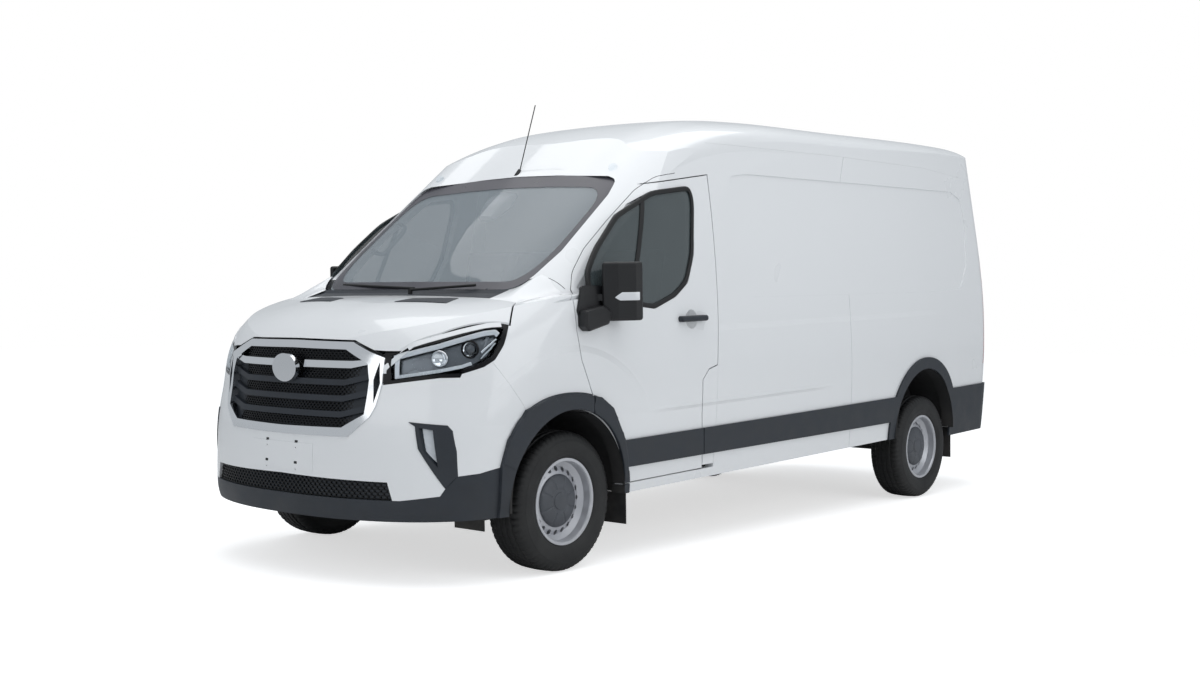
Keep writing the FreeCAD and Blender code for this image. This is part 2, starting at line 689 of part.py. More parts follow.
rear_zone = side_prism([(LONG, 0)] + B_SEAM + [(LONG, HIGH)], -WIDE, WIDE)
rear_hole = front_prism([(-size.rear_door_half, size.rear_door_sill),
                         (size.rear_door_half, size.rear_door_sill),
                         (size.rear_door_half, size.rear_door_top),
                         (-size.rear_door_half, size.rear_door_top)], 2700, 3100)
TAIL_LAMP = [(2715, 765), (2735, 1560), (3100, 1560), (3100, 765)]
lamp_tool = side_prism(TAIL_LAMP, 812, WIDE)
slide = [(size.slide_front, size.slide_bottom), (size.slide_rear, size.slide_bottom),
         (size.slide_rear, size.slide_top), (size.slide_front, size.slide_top)]
slide_hole = round_side_prism(slide, size.slide_corner, -WIDE, -600)
slide_tool = round_side_prism(grown(slide, -size.seam), size.slide_corner - size.seam, -WIDE, -600)
roof_zone = side_prism(GUTTER + [(LONG, HIGH), (-LONG, HIGH)], -WIDE, WIDE)
under_roof = [(y, z - size.trim_gap) for y, z in GUTTER]
side_zone = side_prism(under_roof + [(LONG, size.sill_bottom), (-LONG, size.sill_bottom)],
                       -WIDE, WIDE)
groove = [(y - size.groove / 2, z) for y, z in MID_SEAM]
groove += [(y + size.groove / 2, z) for y, z in MID_SEAM[::-1]]
REAR_PRESSING = [(780, 2040)] + PRESSING[2:8] + [(750, 1310)]


def pressed(points, low, high):
    """What a shallow pressing of an outline takes from the side's skin."""
    return round_side_prism(points, size.slide_corner, low, high)


left_pressing = pressed(PRESSING, 0, WIDE).fuse(side_prism(groove, 0, WIDE)).cut(pressed_core)
right_pressing = pressed(REAR_PRESSING, -WIDE, 0).fuse(side_prism(groove, -WIDE, 0))
right_pressing = right_pressing.cut(pressed_core)
slide_pressing = pressed(SLIDE_PRESSING, -WIDE, 0).cut(pressed_core)
load = shell.common(rear_zone).cut([rear_hole, both(lamp_tool), arches])
keep("roof_panel", only(load, roof_zone))
sides = load.common(side_zone)
sills = shell.common(sill_zone).cut([arches, rear_zone])
filler = shell.common(filler_zone)
left = sides.common(block(0, WIDE, -LONG, LONG, 0, HIGH)).cut(left_pressing)
right = sides.common(block(-WIDE, 0, -LONG, LONG, 0, HIGH)).cut([slide_hole, right_pressing])
for side, wall, low in (("left", left, 0), ("right", right, -WIDE)):
    sill = only(sills, block(low, low + WIDE, -LONG, LONG, 0, HIGH))
    keep("side_" + side, Part.makeCompound([main_solids(wall, 1), sill]))
keep("sliding_door", only(shell.cut(slide_pressing), slide_tool))
flap_tool = side_prism(grown(filler_outline, -size.flap_gap), 600, WIDE)
keep("filler_flap", only(filler, flap_tool))
lamp = only(shell, side_prism(grown(TAIL_LAMP, -size.trim_gap), 812 + size.trim_gap, WIDE))
keep("tail_lamps", both(lamp))
leaf_edge = size.door_seam - 2
rear_leaf = front_prism([(leaf_edge, size.rear_door_sill + size.seam),
                         (size.rear_door_half - size.seam, size.rear_door_sill + size.seam),
                         (size.rear_door_half - size.seam, size.rear_door_top - size.seam),
                         (leaf_edge, size.rear_door_top - size.seam)], 2700, 3100)
leaf = only(shell, rear_leaf)
keep("rear_door_left", leaf)
keep("rear_door_right", mirrored(leaf))

# Cladding of dark plastic along the side

strip = side_prism([(-1600, size.strip_bottom), (2300, size.strip_bottom - 30),
                    (2300, size.strip_top), (-1600, size.strip_top)], 500, WIDE)
corner = side_prism([(2150, 280), (2786, 280), (2786, size.strip_top), (2150, size.strip_top)],
                    500, WIDE)
flares = front_flare.fuse(rear_flare)
flares = flares.common(block(500, WIDE, -LONG, LONG, size.sill_bottom, 2000))
trim_left = trim_skin.common(block(500, 1200, -2460, 2790, 200, 950))
trim_left = trim_left.common(flares.fuse([strip, corner])).cut(arches)
door_trim = main_solids(trim_left.common(door_tool), 1)
rest = trim_left.cut(side_prism(grown(door_outline, size.trim_gap), 500, WIDE))
rest_solids = main_solids(rest, 3)
keep("side_cladding", both(rest_solids))
grip = block(1005, 1058, GRIP_Y - 120, GRIP_Y + 120, GRIP_Z - 16, GRIP_Z + 16)
grip = main_solids(grip.makeFillet(14, grip.Edges).cut(snug), 1)
door_fittings = Part.makeCompound([door_trim, grip])
keep("door_cladding_left", door_fittings)
keep("door_cladding_right", mirrored(door_fittings))

# Grille and badge disc of the nose

SURROUND_DEPTH = (-6, 36)
grille_outer = grown(both_sides(GRILLE), -size.trim_gap)
ring = nose_prism(grille_outer).cut([nose_prism(both_sides(GRILLE_INNER)),
                                     both(nose_prism(WING_SLOT))])
surround = nose_layer(*SURROUND_DEPTH, ring)
chrome_bars = nose_layer(3, 30, both(nose_prism(CHROME_BAR)))
disc = Part.Face(Part.Wire(Part.Ellipse(Vector(), size.badge_half, size.badge_high).toShape()))
disc = disc.extrude(Vector(0, 0, 24))
disc.Placement = Placement(Vector(0, -2906 - size.badge_proud + 12, 1047), TURNS["y"])
boss = Part.makeCylinder(42, 60, Vector(0, -2912, 1047), Vector(0, 1, 0))
badge = disc.fuse(boss).cut(nose.translated(Vector(0, SURROUND_DEPTH[1], 0)))
chrome = main_solids(surround.fuse(chrome_bars), 1)
keep("grille_surround", Part.makeCompound([chrome, badge]))
inside = nose_prism(both_sides(GRILLE_INNER))
bar_prisms = []
for z in GRILLE_BARS:
    points = [(0, z + 14), (370, z + 14), (530, z + 51), (530, z + 23), (370, z - 14), (0, z - 14)]
    bar_prisms.append(nose_prism(both_sides(points)))
bars = nose_layer(14, 40, Part.makeCompound(bar_prisms).common(inside))
mesh_front = SURROUND_DEPTH[1] + size.seat_gap
mesh = nose_layer(mesh_front, mesh_front + 5, nose_prism(grown(both_sides(GRILLE), -4)))
grille = mesh.fuse(bars.Solids).cut([chrome, badge])
intake = nose_layer(20, 30, nose_prism(grown(both_sides(INTAKE[:2] + [(664, 444), (0, 444)]),
                                             -size.trim_gap)))
keep("grille", Part.makeCompound([main_solids(grille, 1), main_solids(intake, 1)]))

# Headlamps, each a dark housing under a clear cover, and fog lamps in their surrounds

lamp_body = front_shell.common(lamp_prism(LAMP_FRONT, LAMP_SIDE, -size.trim_gap))
lamp_body = lamp_body.cut([bonnet_hole, nose_prism(grown(both_sides(GRILLE), size.trim_gap))])
lamp_floor = nose_core.translated(Vector(size.lamp_back, -size.lamp_back, 0))
cavity = lamp_prism(LAMP_OPEN_FRONT, LAMP_OPEN_SIDE, 0).cut(lamp_floor)
housing = main_solids(lamp_body.cut(cavity), 1)
keep("lamp_housings", both(housing))
under_cover = nose.translated(Vector(-size.lamp_cover, size.lamp_cover, 0))
cover = nose.cut(under_cover).common(
    lamp_prism(LAMP_OPEN_FRONT, LAMP_OPEN_SIDE, -size.seat_gap)).cut(bonnet_hole)
keep("headlamps", both(main_solids(cover, 1)))
fog_prism = nose_prism(grown(FOG, -size.trim_gap))
fog_frame = nose_layer(-5, 38, fog_prism.cut(nose_prism(grown(FOG_LENS, size.seat_gap))))
fog_frame = main_solids(fog_frame, 1)
fog_lens = main_solids(nose_layer(8, 38, nose_prism(FOG_LENS)), 1)
keep("fog_lamps", both(fog_lens))
keep("bumper_skirt", Part.makeCompound([skirt, both(fog_frame)]))
marker = Part.makeSphere(26, Vector(674, -1181, 2052))
keep("marker_lamps", both(marker.cut(outer)))
AERIAL_X = -35
aerial = rod((AERIAL_X, -1172, 2050), (AERIAL_X, -1022, 2460), 3)
foot = Part.makeCone(24, 8, 44, Vector(AERIAL_X, -1180, 2040), Vector(0, 150, 410))
keep("antenna", aerial.fuse(foot).cut(outer))

# Mirrors and handles

MIRROR_PLAN = [(1030, -1755), (1105, -1680), (1160, -1600), (1168, -1545), (1040, -1562)]
MIRROR_LOW, MIRROR_HIGH = 1242, 1540
MIRROR_FOOT = [(-1900, 1222), (-1870, 1196), (-1720, 1226), (-1685, 1290), (-1760, 1322),
               (-1895, 1300)]
SAIL = [(-1640, 1290), (-1700, 1420), (-1850, 1425), (-1905, 1300), (-1880, 1215), (-1700, 1240)]
head = plan_prism(MIRROR_PLAN, MIRROR_LOW, MIRROR_HIGH)
head = head.makeFillet(16, head.Edges)
base = side_pane(SAIL, 30, -12, 17)
mirror_foot = side_prism(MIRROR_FOOT, 960, 1082)
mirror_foot = mirror_foot.makeFillet(14, mirror_foot.Edges)
arms = [Part.makeLoft([outline([Vector(975, y - 34, z), Vector(975, y + 24, z),
                                Vector(975, y + 24, z + 36), Vector(975, y - 34, z + 36)]),
                       outline([Vector(1070, y + 60, z), Vector(1070, y + 100, z),
                                Vector(1070, y + 100, z + 30), Vector(1070, y + 60, z + 30)])],
                      True) for y, z in ((-1760, 1345), (-1745, 1262))]
mirror = main_solids(head.fuse([base, mirror_foot] + arms).cut(snug), 1)
keep("mirror_left", mirror)
keep("mirror_right", mirrored(mirror))

# Floors, frame and arch liners

liner_radius = size.front_arch + size.liner_gap
tub = inner.common(block(-WIDE, WIDE, -LONG, LONG, 200, 1000))


def liner(y, z, radius, inside):
    """A wheel housing: half a tube with a wall on its inner side."""
    wide = Part.makeCylinder(radius + size.liner_wall, 980 - inside, Vector(inside, y, z),
                             Vector(1, 0, 0))
    hollow = Part.makeCylinder(radius, 1000 - inside, Vector(inside + size.liner_wall, y, z),
                               Vector(1, 0, 0))
    upper = block(0, WIDE, y - 600, y + 600, z - 40, z + 600)
    return wide.cut(hollow).common(upper).common(tub)


def liner_solid(y, z, radius, inside):
    """The whole space of a wheel housing, on both sides."""
    full = Part.makeCylinder(radius + size.liner_wall, 700, Vector(inside, y, z), Vector(1, 0, 0))
    return both(full.fuse(block(inside, inside + 700, y - radius - size.liner_wall,
                                y + radius + size.liner_wall, 0, z)))


def mud_flap(y, low, x0, x1, high):
    """A hanging flap whose lower edge is given where the van stands."""
    place = level_point(y, low)
    return block(x0, x1, place.y, place.y + size.flap_wall, place.z, high - size.seat_gap)


rear_radius = size.rear_arch + size.liner_gap
front_liner = liner(size.front_arch_y, arch_z, liner_radius, size.front_liner_x)
rear_liner = liner(rear_arch_y, rear_arch_z, rear_radius, size.rear_liner_x)
splash_y = size.front_arch_y - liner_radius - size.liner_wall - size.flap_wall - size.seat_gap
flaps = [mud_flap(-1500, 190, 800, 992, size.sill_bottom),
         mud_flap(2270, 240, 800, 955, size.sill_bottom),
         block(660, 860, splash_y, splash_y + size.flap_wall, 258, 410)]
keep("arch_liners", both(Part.makeCompound([front_liner, rear_liner] + flaps)))
front_house = liner_solid(size.front_arch_y, arch_z, liner_radius, size.front_liner_x)
rear_house = liner_solid(rear_arch_y, rear_arch_z, rear_radius, size.rear_liner_x)
floor = tub.common(block(-WIDE, WIDE, -690, size.rear_face - size.wall - 8,
                         size.floor_top - size.floor_plate, size.floor_top)).cut(rear_house)
keep("load_floor", main_solids(floor, 1))
CAB_HALF = 915
BULKHEAD_HALF = 900
cab_low = size.cab_floor_top - size.floor_plate
cab = block(-CAB_HALF, CAB_HALF, -2030, -700, cab_low, size.cab_floor_top)
cab = cab.fuse(block(-BULKHEAD_HALF, BULKHEAD_HALF, -2050, -2020, cab_low, 1330))
keep("cab_floor", main_solids(cab.cut(front_house), 1))

# Wheels: a tyre and a pressed steel rim, each turned about its own axle

def named_plane(body, role):
    return next(f for f in body.Origin.OriginFeatures if f.Role == role)


def turned_body(label, points, arcs=()):
    """A body turned about the x axis from a closed outline of (axial, radial) points."""
    body = doc.addObject("PartDesign::Body", label)
    sketch = body.newObject("Sketcher::SketchObject", label + "_profile")
    sketch.AttachmentSupport = [(named_plane(body, "XY_Plane"), "")]
    sketch.MapMode = "FlatFace"
    flat = [Vector(x, r, 0) for x, r in points]
    for i, p in enumerate(flat):
        q = flat[(i + 1) % len(flat)]
        if i in arcs:
            bulge = (p + q) * 0.5 + Vector((q - p).y, -(q - p).x, 0) * arcs[i]
            sketch.addGeometry(Part.Arc(p, bulge, q), False)
        else:
            sketch.addGeometry(Part.LineSegment(p, q), False)
    turned = body.newObject("PartDesign::Revolution", label + "_turned")
    turned.Profile = sketch
    turned.ReferenceAxis = (sketch, ["H_Axis"])
    turned.Angle = 360
    doc.recompute()
    return body, turned


wide = size.tyre_width / 2
tread = size.tyre_radius
bead = size.rim_radius - 10
tyre_body, tyre_turned = turned_body("tyre_pattern", [
    (-wide + 28, bead), (-wide + 6, bead + 22), (-wide, (bead + tread) / 2 + 4),
    (-wide + 12, tread - 22), (-wide + 30, tread - 6), (-wide * 0.4, tread), (wide * 0.4, tread),
    (wide - 30, tread - 6), (wide - 12, tread - 22), (wide, (bead + tread) / 2 + 4),
    (wide - 6, bead + 22), (wide - 28, bead)])
rim = size.rim_radius
hub = size.hub_bore
rim_body, rim_turned = turned_body("rim_pattern", [
    (-wide + 20, bead + 6), (-wide + 20, bead - 0.3), (-50, bead - 0.3),
    (-30, bead - 26), (20, bead - 26), (44, bead - 0.3), (wide - 20, bead - 0.3),
    (wide - 20, bead + 6), (wide - 14, bead + 6), (wide - 14, bead - 8), (wide - 22, bead - 12),
    (54, bead - 12), (34, bead - 40), (44, 150), (52, 120), (40, 92), (62, 86), (66, 60),
    (66, 0), (40, 0), (40, hub), (-60, hub), (-60, 62), (28, 62), (28, 110), (30, 128),
    (20, 150), (8, bead - 38), (-36, bead - 38), (-58, bead - 12), (-wide + 22, bead - 12),
    (-wide + 14, bead - 8), (-wide + 14, bead + 6)])
hole_sketch = rim_body.newObject("Sketcher::SketchObject", "rim_hole")
hole_sketch.AttachmentSupport = [(named_plane(rim_body, "YZ_Plane"), "")]
hole_sketch.MapMode = "FlatFace"
ring_index = hole_sketch.addGeometry(
    Part.Circle(Vector(0, size.rim_hole_ring, 0), Vector(0, 0, 1), size.rim_hole), False)
CENTRE, ORIGIN = (ring_index, 3), (-1, 1)
hole_sketch.addConstraint(Sketcher.Constraint("Radius", ring_index, size.rim_hole))
hole_sketch.addConstraint(Sketcher.Constraint("DistanceX", *ORIGIN, *CENTRE, 0))
hole_sketch.addConstraint(Sketcher.Constraint("DistanceY", *ORIGIN, *CENTRE,
                                              size.rim_hole_ring))
bind(hole_sketch, "Constraints[0]", "rim_hole")
bind(hole_sketch, "Constraints[2]", "rim_hole_ring")
holes = rim_body.newObject("PartDesign::Pocket", "rim_vents")
holes.Profile = hole_sketch
holes.Type = 1
holes.Midplane = True
doc.recompute()
pattern = rim_body.newObject("PartDesign::PolarPattern", "rim_vent_ring")
pattern.Originals = [holes]
pattern.Axis = (named_plane(rim_body, "X_Axis"), [""])
pattern.Angle = 360
bind(pattern, "Occurrences", "rim_holes")
rim_body.Tip = pattern
doc.recompute()

for end, track, y in (("front", size.front_track, size.front_axle),
                      ("rear", size.rear_track, rear_axle)):
    for side, sign in left_right:
        spot = Placement(Vector(sign * track / 2, y, size.tyre_radius),
                         Rotation(Vector(0, 0, 1), 0 if sign > 0 else 180))
        assemble("tyre_%s_%s" % (end, side), [tyre_body], spot)
        assemble("rim_%s_%s" % (end, side), [rim_body], spot)

# Running gear

AXLE_Y, AXLE_Z = "front_axle", "tyre_radius"
REAR_Y, REAR_Z = "%r" % rear_hub.y, "%r" % rear_hub.z
spindle_length = "front_track / 2 + 20 - upright_x"
upright = box("upright_block", ("upright_x - upright_wide / 2", "upright_x + upright_wide / 2"),
              (AXLE_Y + " - 38", AXLE_Y + " + 38"), ("255", "455"))
spindle = bar("front_spindle", "x", ("upright_x", AXLE_Y, AXLE_Z), spindle_length,
              "spindle_radius")
strut = bar("strut", "z", ("698", AXLE_Y, "440"), "360", "strut_radius")
cup = doc.addObject("Part::Cone", "spring_cup")
cup.Radius1, cup.Radius2, cup.Height = 40, 52, 22
for name, formula in (("x", "698"), ("y", AXLE_Y), ("z", "660")):
    bind(cup, "Placement.Base." + name, formula)
steering_arm = box("steering_arm", ("695", "725"), (AXLE_Y + " + 30", AXLE_Y + " + 150"),
                   ("285", "312"))
knuckle = fused("knuckle_parts", [upright, spindle, strut, cup, steering_arm])
assemble("knuckle_left", [knuckle])
assemble("knuckle_right", [opposite("knuckle_opposite", knuckle)])


def leaf_spring():
    """One long leaf over the axle, with its front hanger and its rear shackle."""
    y, z = rear_hub.y, rear_hub.z
    low = z + size.axle_tube + 17.5
    front, rear_eye = Vector(0, y - size.spring_half, 450), Vector(0, y + size.spring_half, 470)
    lift = Vector(0, 0, size.leaf)
    lower = Part.Arc(front, Vector(0, y, low), rear_eye).toShape()
    upper = Part.Arc(rear_eye + lift, Vector(0, y, low) + lift, front + lift).toShape()
    ends = [Part.LineSegment(rear_eye, rear_eye + lift).toShape(),
            Part.LineSegment(front + lift, front).toShape()]
    face = Part.Face(Part.Wire([lower, ends[0], upper, ends[1]]))
    start = size.spring_x - size.spring_width / 2
    leaf_shape = face.extrude(Vector(size.spring_width, 0, 0))
    leaf_shape.translate(Vector(start, 0, 0))
    high = size.floor_top - size.floor_plate
    end = start + size.spring_width
    hangers = [block(start, end, y - size.spring_half - 40, y - size.spring_half + 20, 440, high),
               block(start, end, y + size.spring_half - 18, y + size.spring_half + 22, 450, high)]
    return joined([leaf_shape] + hangers)


tube = bar("axle_beam", "x", ("-690", REAR_Y, REAR_Z), "1380", "axle_tube")
stub = bar("rear_spindles", "x", ("-rear_track / 2 - 20", REAR_Y, REAR_Z), "rear_track + 40",
           "spindle_radius")
pad_y = (REAR_Y + " - 70", REAR_Y + " + 70")
pad_z = (REAR_Z + " + spindle_radius", REAR_Z + " + spindle_radius + spring_pad")
pads = [box("spring_pad_" + side, ("%d * spring_x - 50" % sign, "%d * spring_x + 50" % sign),
            pad_y, pad_z) for side, sign in left_right]
spring = solid_feature("leaf_spring", leaf_spring())
assemble("rear_axle", [fused("axle_parts", [tube, stub] + pads), spring,
                       opposite("leaf_spring_opposite", spring)])


def arm_section(x, y0, y1, z0, z1):
    y = size.front_axle
    return outline([Vector(x, y + y0, z0), Vector(x, y + y1, z0), Vector(x, y + y1, z1),
                    Vector(x, y + y0, z1)])


cross = box("subframe_cross", ("-subframe_half", "subframe_half"),
            (AXLE_Y + " - 110", AXLE_Y + " + 70"), ("subframe_low", "subframe_top"))
arm = solid_feature("lower_arm", Part.makeLoft(
    [arm_section(size.subframe_half - 10, -100, 60, 235, 265),
     arm_section(size.arm_reach, -30, 30, 215, 240)], True))
posts = [box("subframe_post_" + side, ("%d * rail_x - 40" % sign, "%d * rail_x + 40" % sign),
             (AXLE_Y + " - 60", AXLE_Y + " + 20"), ("subframe_top - 5", "rail_bottom - seat_gap"))
         for side, sign in left_right]
assemble("front_subframe", [fused("subframe_parts", [cross, arm, opposite("lower_arm_opposite", arm)]
                                  + posts)])

# Chassis rails and cross members

rail_y = ("rail_front", "rail_rear")
rail_z = ("rail_bottom", "floor_top - floor_plate")
rails = [box("rail_" + side, ("%d * rail_x - rail_wide / 2" % sign,
                              "%d * rail_x + rail_wide / 2" % sign), rail_y, rail_z)
         for side, sign in left_right]
eye_x = "-rail_x - tow_plate"
eye_plate = box("tow_plate_blank", (eye_x, "-rail_x"), ("tow_eye_y - 33", "tow_eye_y + 32"),
                ("tow_eye_z - 35", "rail_bottom + 20"))
eye_bore = bar("tow_eye_bore", "x", (eye_x + " - 10", "tow_eye_y", "tow_eye_z"),
               "tow_plate + 20", "tow_eye")
eye = doc.addObject("Part::Cut", "tow_plate_cut")
eye.Base, eye.Tool = eye_plate, eye_bore
assemble("chassis_rails", [rails[0], fused("rail_with_eye", [rails[1], eye])])

MEMBERS = (-2600, -1150, -710, -250, 550, 1250, 2150, 2720)  # front faces along y
reach = "rail_x - rail_wide / 2"
members = [box("member_%d" % i, ("-(%s)" % reach, reach), (str(y), "%d + member_wide" % y),
               ("member_low", "member_top")) for i, y in enumerate(MEMBERS)]
members.append(box("engine_member", ("-(%s)" % reach, reach), ("-2330", "-2330 + member_wide"),
                   ("rail_bottom", "engine_bottom - seat_gap")))
hanger = box("spare_hanger", ("-60", "60"), ("2150", "2400"),
             ("spare_top + seat_gap", "member_low + 20"))
members[6] = fused("member_with_hanger", [members[6], hanger])
assemble("cross_members", members)

# Engine, tank, exhaust and spare wheel

assemble("engine", [box("engine_block", ("engine_right", "engine_left"),
                        ("engine_front", "engine_rear"), ("engine_bottom", "engine_top"))])
tank = box("tank_box", ("-tank_half", "tank_half"), ("tank_front", "tank_rear"),
           ("tank_bottom", "member_low - seat_gap"))
assemble("fuel_tank", [softened("tank_rounded", tank, size.tank_edge)])
pipe = [bar("front_pipe", "y", ("pipe_x", "pipe_front", "pipe_z"),
            "silencer_front - pipe_front", "pipe_radius"),
        bar("silencer", "y", ("pipe_x", "silencer_front", "pipe_z"),
            "silencer_rear - silencer_front", "silencer_radius"),
        bar("tail_pipe", "y", ("pipe_x", "silencer_rear", "pipe_z"),
            "pipe_rear - silencer_rear", "pipe_radius")]
for i, y in enumerate((-1200, 0, 1000)):
    span = (str(y), "%d + 24" % y)
    pipe.append(box("pipe_bracket_%d" % i, ("pipe_x", "-rail_x - rail_wide / 2 - seat_gap"),
                    span, ("425", "437")))
    pipe.append(box("pipe_stay_%d" % i, ("pipe_x - 12", "pipe_x + 12"), span,
                    ("pipe_z", "437")))
assemble("exhaust", [fused("exhaust_parts", pipe)])
spare = bar("spare_disc", "z", ("0", "spare_y", "spare_top - spare_high"), "spare_high",
            "spare_radius")
assemble("spare_wheel", [softened("spare_rounded", spare, size.spare_edge)])

# Rear bumper


def bumper_plan(inset):
    reach_y = size.rear_face + size.rear_bumper_reach - inset
    wide_x = half - 40 - inset
    points = [(wide_x, 2700), (850 - inset, 2878 - inset), (720 - inset, reach_y)]
    return points + [(-x, y) for x, y in points[::-1]]


rear_bar = round_plan_prism(bumper_plan(0), 60, 300, 592)
rear_bar = rear_bar.cut(round_plan_prism(bumper_plan(30), 40, 200, 562))
rear_bar = rear_bar.cut(outer.common(block(-WIDE, WIDE, 2600, 3100, 200, 700)))
keep("rear_bumper", main_solids(rear_bar, 1))

# Cab

dash = side_prism([(-2019.5, 1300), (-1800, 1330), (-1750, 1300), (-1740, 1215), (-1700, 1150),
                   (-1720, 960), (-1860, 900), (-2019.5, 900)], -880, 880)
keep("dashboard", dash)
wheel_centre = Vector(455, -1540, 1235)
wheel_tilt = Vector(0, 0.42, 0.9075)
ring_shape = Part.makeTorus(size.wheel_rim_radius, 15, wheel_centre, wheel_tilt)
boss = Part.makeCylinder(60, 40, wheel_centre - wheel_tilt * 45, wheel_tilt)
shaft = Part.makeCylinder(24, 160, wheel_centre - wheel_tilt * 165, wheel_tilt)
spokes = [rod(wheel_centre - wheel_tilt * 25,
              wheel_centre + Vector(s * (size.wheel_rim_radius - 4), 0, 0), 13) for s in (-1, 1)]
shroud = block(425, 485, -1760, -1560, 1120, 1175)
steering = joined([ring_shape, boss, shaft, shroud] + spokes).cut(dash)
keep("steering_wheel", main_solids(steering, 1))
bases, cushions, backs = [], [], []
for name, seat_half, centre in (("seat", "seat_width / 2", "seat_x"),
                                ("bench", "bench_width / 2", "bench_x")):
    low, high = "%s - %s" % (centre, seat_half), "%s + %s" % (centre, seat_half)
    bases.append(box(name + "_base", (low + " + 30", high + " - 30"),
                     ("seat_front + 60", "seat_front + 480"),
                     ("cab_floor_top", "seat_base_top - seat_gap")))
    cushion = box(name + "_cushion", (low, high), ("seat_front", "seat_front + seat_length"),
                  ("seat_base_top", "cushion_top"))
    cushions.append(softened(name + "_cushion_rounded", cushion, 40))
doc.recompute()
BACK_SIDE = [(-925, 0.3), (-805, 0.3), (-705, 590), (-790, 590)]
for cushion in cushions:
    bounds = cushion.Shape.BoundBox
    points = [(y, z + size.cushion_top) for y, z in BACK_SIDE]
    back = side_prism(points, bounds.XMin, bounds.XMax)
    backs.append(back.makeFillet(35, back.Edges))
assemble("seat_bases", bases)
assemble("seat_cushions", cushions)
keep("seat_backs", Part.makeCompound(backs))


def on_screen(x, up, out):
    """A point a way up the windscreen and out from its face."""
    foot_point = screen_foot(x, 0)
    length = math.hypot(size.screen_run, size.screen_rise)
    along = Vector(0, size.screen_run, size.screen_rise) / length
    off = Vector(0, -size.screen_rise, size.screen_run) / length
    return foot_point + along * up + off * out


wipers = []
BLADE = 7
near_screen = outer.common(block(-950, 950, -2350, -1900, 1250, 1500)).cut(screen_hole)
for x0, x1, pivot in ((120, 780, 60), (-620, 20, -690)):
    out = BLADE - size.screen_inset + size.seat_gap
    blade = rod(on_screen(x0, 70, out), on_screen(x1, 34, out), BLADE)
    post = rod((pivot, -2125, 1365), (pivot, -2125, 1412), 12)
    arm_rod = rod(Vector(pivot, -2125, 1408), on_screen((x0 + x1) / 2, 52, out + 8), BLADE)
    wipers.append(joined([blade, arm_rod, post]).cut([near_screen, windscreen]))
keep("wipers", Part.makeCompound([main_solids(w, 1) for w in wipers]))

# Checks and export

doc.recompute()
faults = []
for item in doc.Objects:
    if "Invalid" in item.State or "Error" in item.State:
        faults.append(item.Name + " did not recompute")
for label, item in pieces.items():
    if item.Shape.isNull() or not item.Shape.isValid() or not item.Shape.Solids:
        faults.append(label + " is not a valid solid")
if faults:
    raise RuntimeError("; ".join(faults))
os.makedirs("parts", exist_ok=True)
for label, item in pieces.items():
    item.Shape.exportStep("parts/%s.step" % label)
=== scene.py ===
# %% [markdown]
# A panel van, dressed in Blender.
#
# The rigid model comes from CAD: closed solids at their real size, loaded once
# and never moved or reshaped. Everything after that is a finish on one of its
# nodes, or a new surface laid on it: rubber seals, lamps, honeycomb, treads,
# seats. Lengths are metres: x to the van's own left, y to its rear, z up, and
# the ground at z = 0.

# %% Tools and the rigid model
import json
import math

import bmesh
import bpy
import numpy as np
from mathutils import Matrix, Vector
from mathutils.bvhtree import BVHTree


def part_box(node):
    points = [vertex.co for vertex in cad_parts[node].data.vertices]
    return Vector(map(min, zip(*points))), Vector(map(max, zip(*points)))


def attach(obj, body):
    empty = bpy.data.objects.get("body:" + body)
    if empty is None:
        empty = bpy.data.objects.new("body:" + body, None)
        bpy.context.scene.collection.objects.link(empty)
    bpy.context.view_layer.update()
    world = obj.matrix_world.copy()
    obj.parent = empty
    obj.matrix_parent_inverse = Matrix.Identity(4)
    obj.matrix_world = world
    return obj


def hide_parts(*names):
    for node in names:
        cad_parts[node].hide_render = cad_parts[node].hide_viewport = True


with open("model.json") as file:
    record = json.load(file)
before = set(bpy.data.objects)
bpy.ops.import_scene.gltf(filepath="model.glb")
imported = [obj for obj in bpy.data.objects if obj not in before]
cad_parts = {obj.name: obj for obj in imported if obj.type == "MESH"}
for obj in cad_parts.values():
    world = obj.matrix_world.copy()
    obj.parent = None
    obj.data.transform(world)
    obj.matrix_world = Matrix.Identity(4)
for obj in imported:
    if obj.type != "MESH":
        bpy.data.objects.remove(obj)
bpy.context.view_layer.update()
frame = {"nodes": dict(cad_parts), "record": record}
nodes = frame["nodes"]
print("rigid nodes:", len(nodes))

# %% [markdown]
# The camera stands where the photograph was taken: ahead of the van, on its
# left, a good metre above the ground. It could be placed by eye, but then no
# line of the van would fall where the picture shows it. Its lens is set from
# the solved focal length, and a small roll levels the ground.

# %% Camera
IMAGE_WIDTH = 1200
FOCAL_PIXELS = 1470.467
CAMERA_PLACE = (5.763, -7.450, 1.355)
AZIMUTH, ELEVATION, ROLL = 39.769, 1.462, 0.318

scene = bpy.context.scene
camera_data = bpy.data.cameras.new("Camera")
camera_data.sensor_width = 36.0
camera_data.lens = FOCAL_PIXELS * camera_data.sensor_width / IMAGE_WIDTH
camera = bpy.data.objects.new("Camera", camera_data)
scene.collection.objects.link(camera)
scene.camera = camera


def aim(azimuth, elevation, roll):
    """Rotation whose back vector points up and away from the subject; roll turns the picture."""
    a, e, r = (math.radians(v) for v in (azimuth, elevation, roll))
    back = np.array([math.sin(a) * math.cos(e), -math.cos(a) * math.cos(e), math.sin(e)])
    right = np.cross([0.0, 0.0, 1.0], back)
    right /= np.linalg.norm(right)
    up = np.cross(back, right)
    turned_right = math.cos(r) * right + math.sin(r) * up
    turned_up = np.cross(back, turned_right)
    return np.stack([turned_right, turned_up, back], axis=1)


camera.matrix_world = (Matrix.Translation(CAMERA_PLACE)
                       @ Matrix(aim(AZIMUTH, ELEVATION, ROLL).tolist()).to_4x4())
print("lens", round(camera_data.lens, 2), "mm")

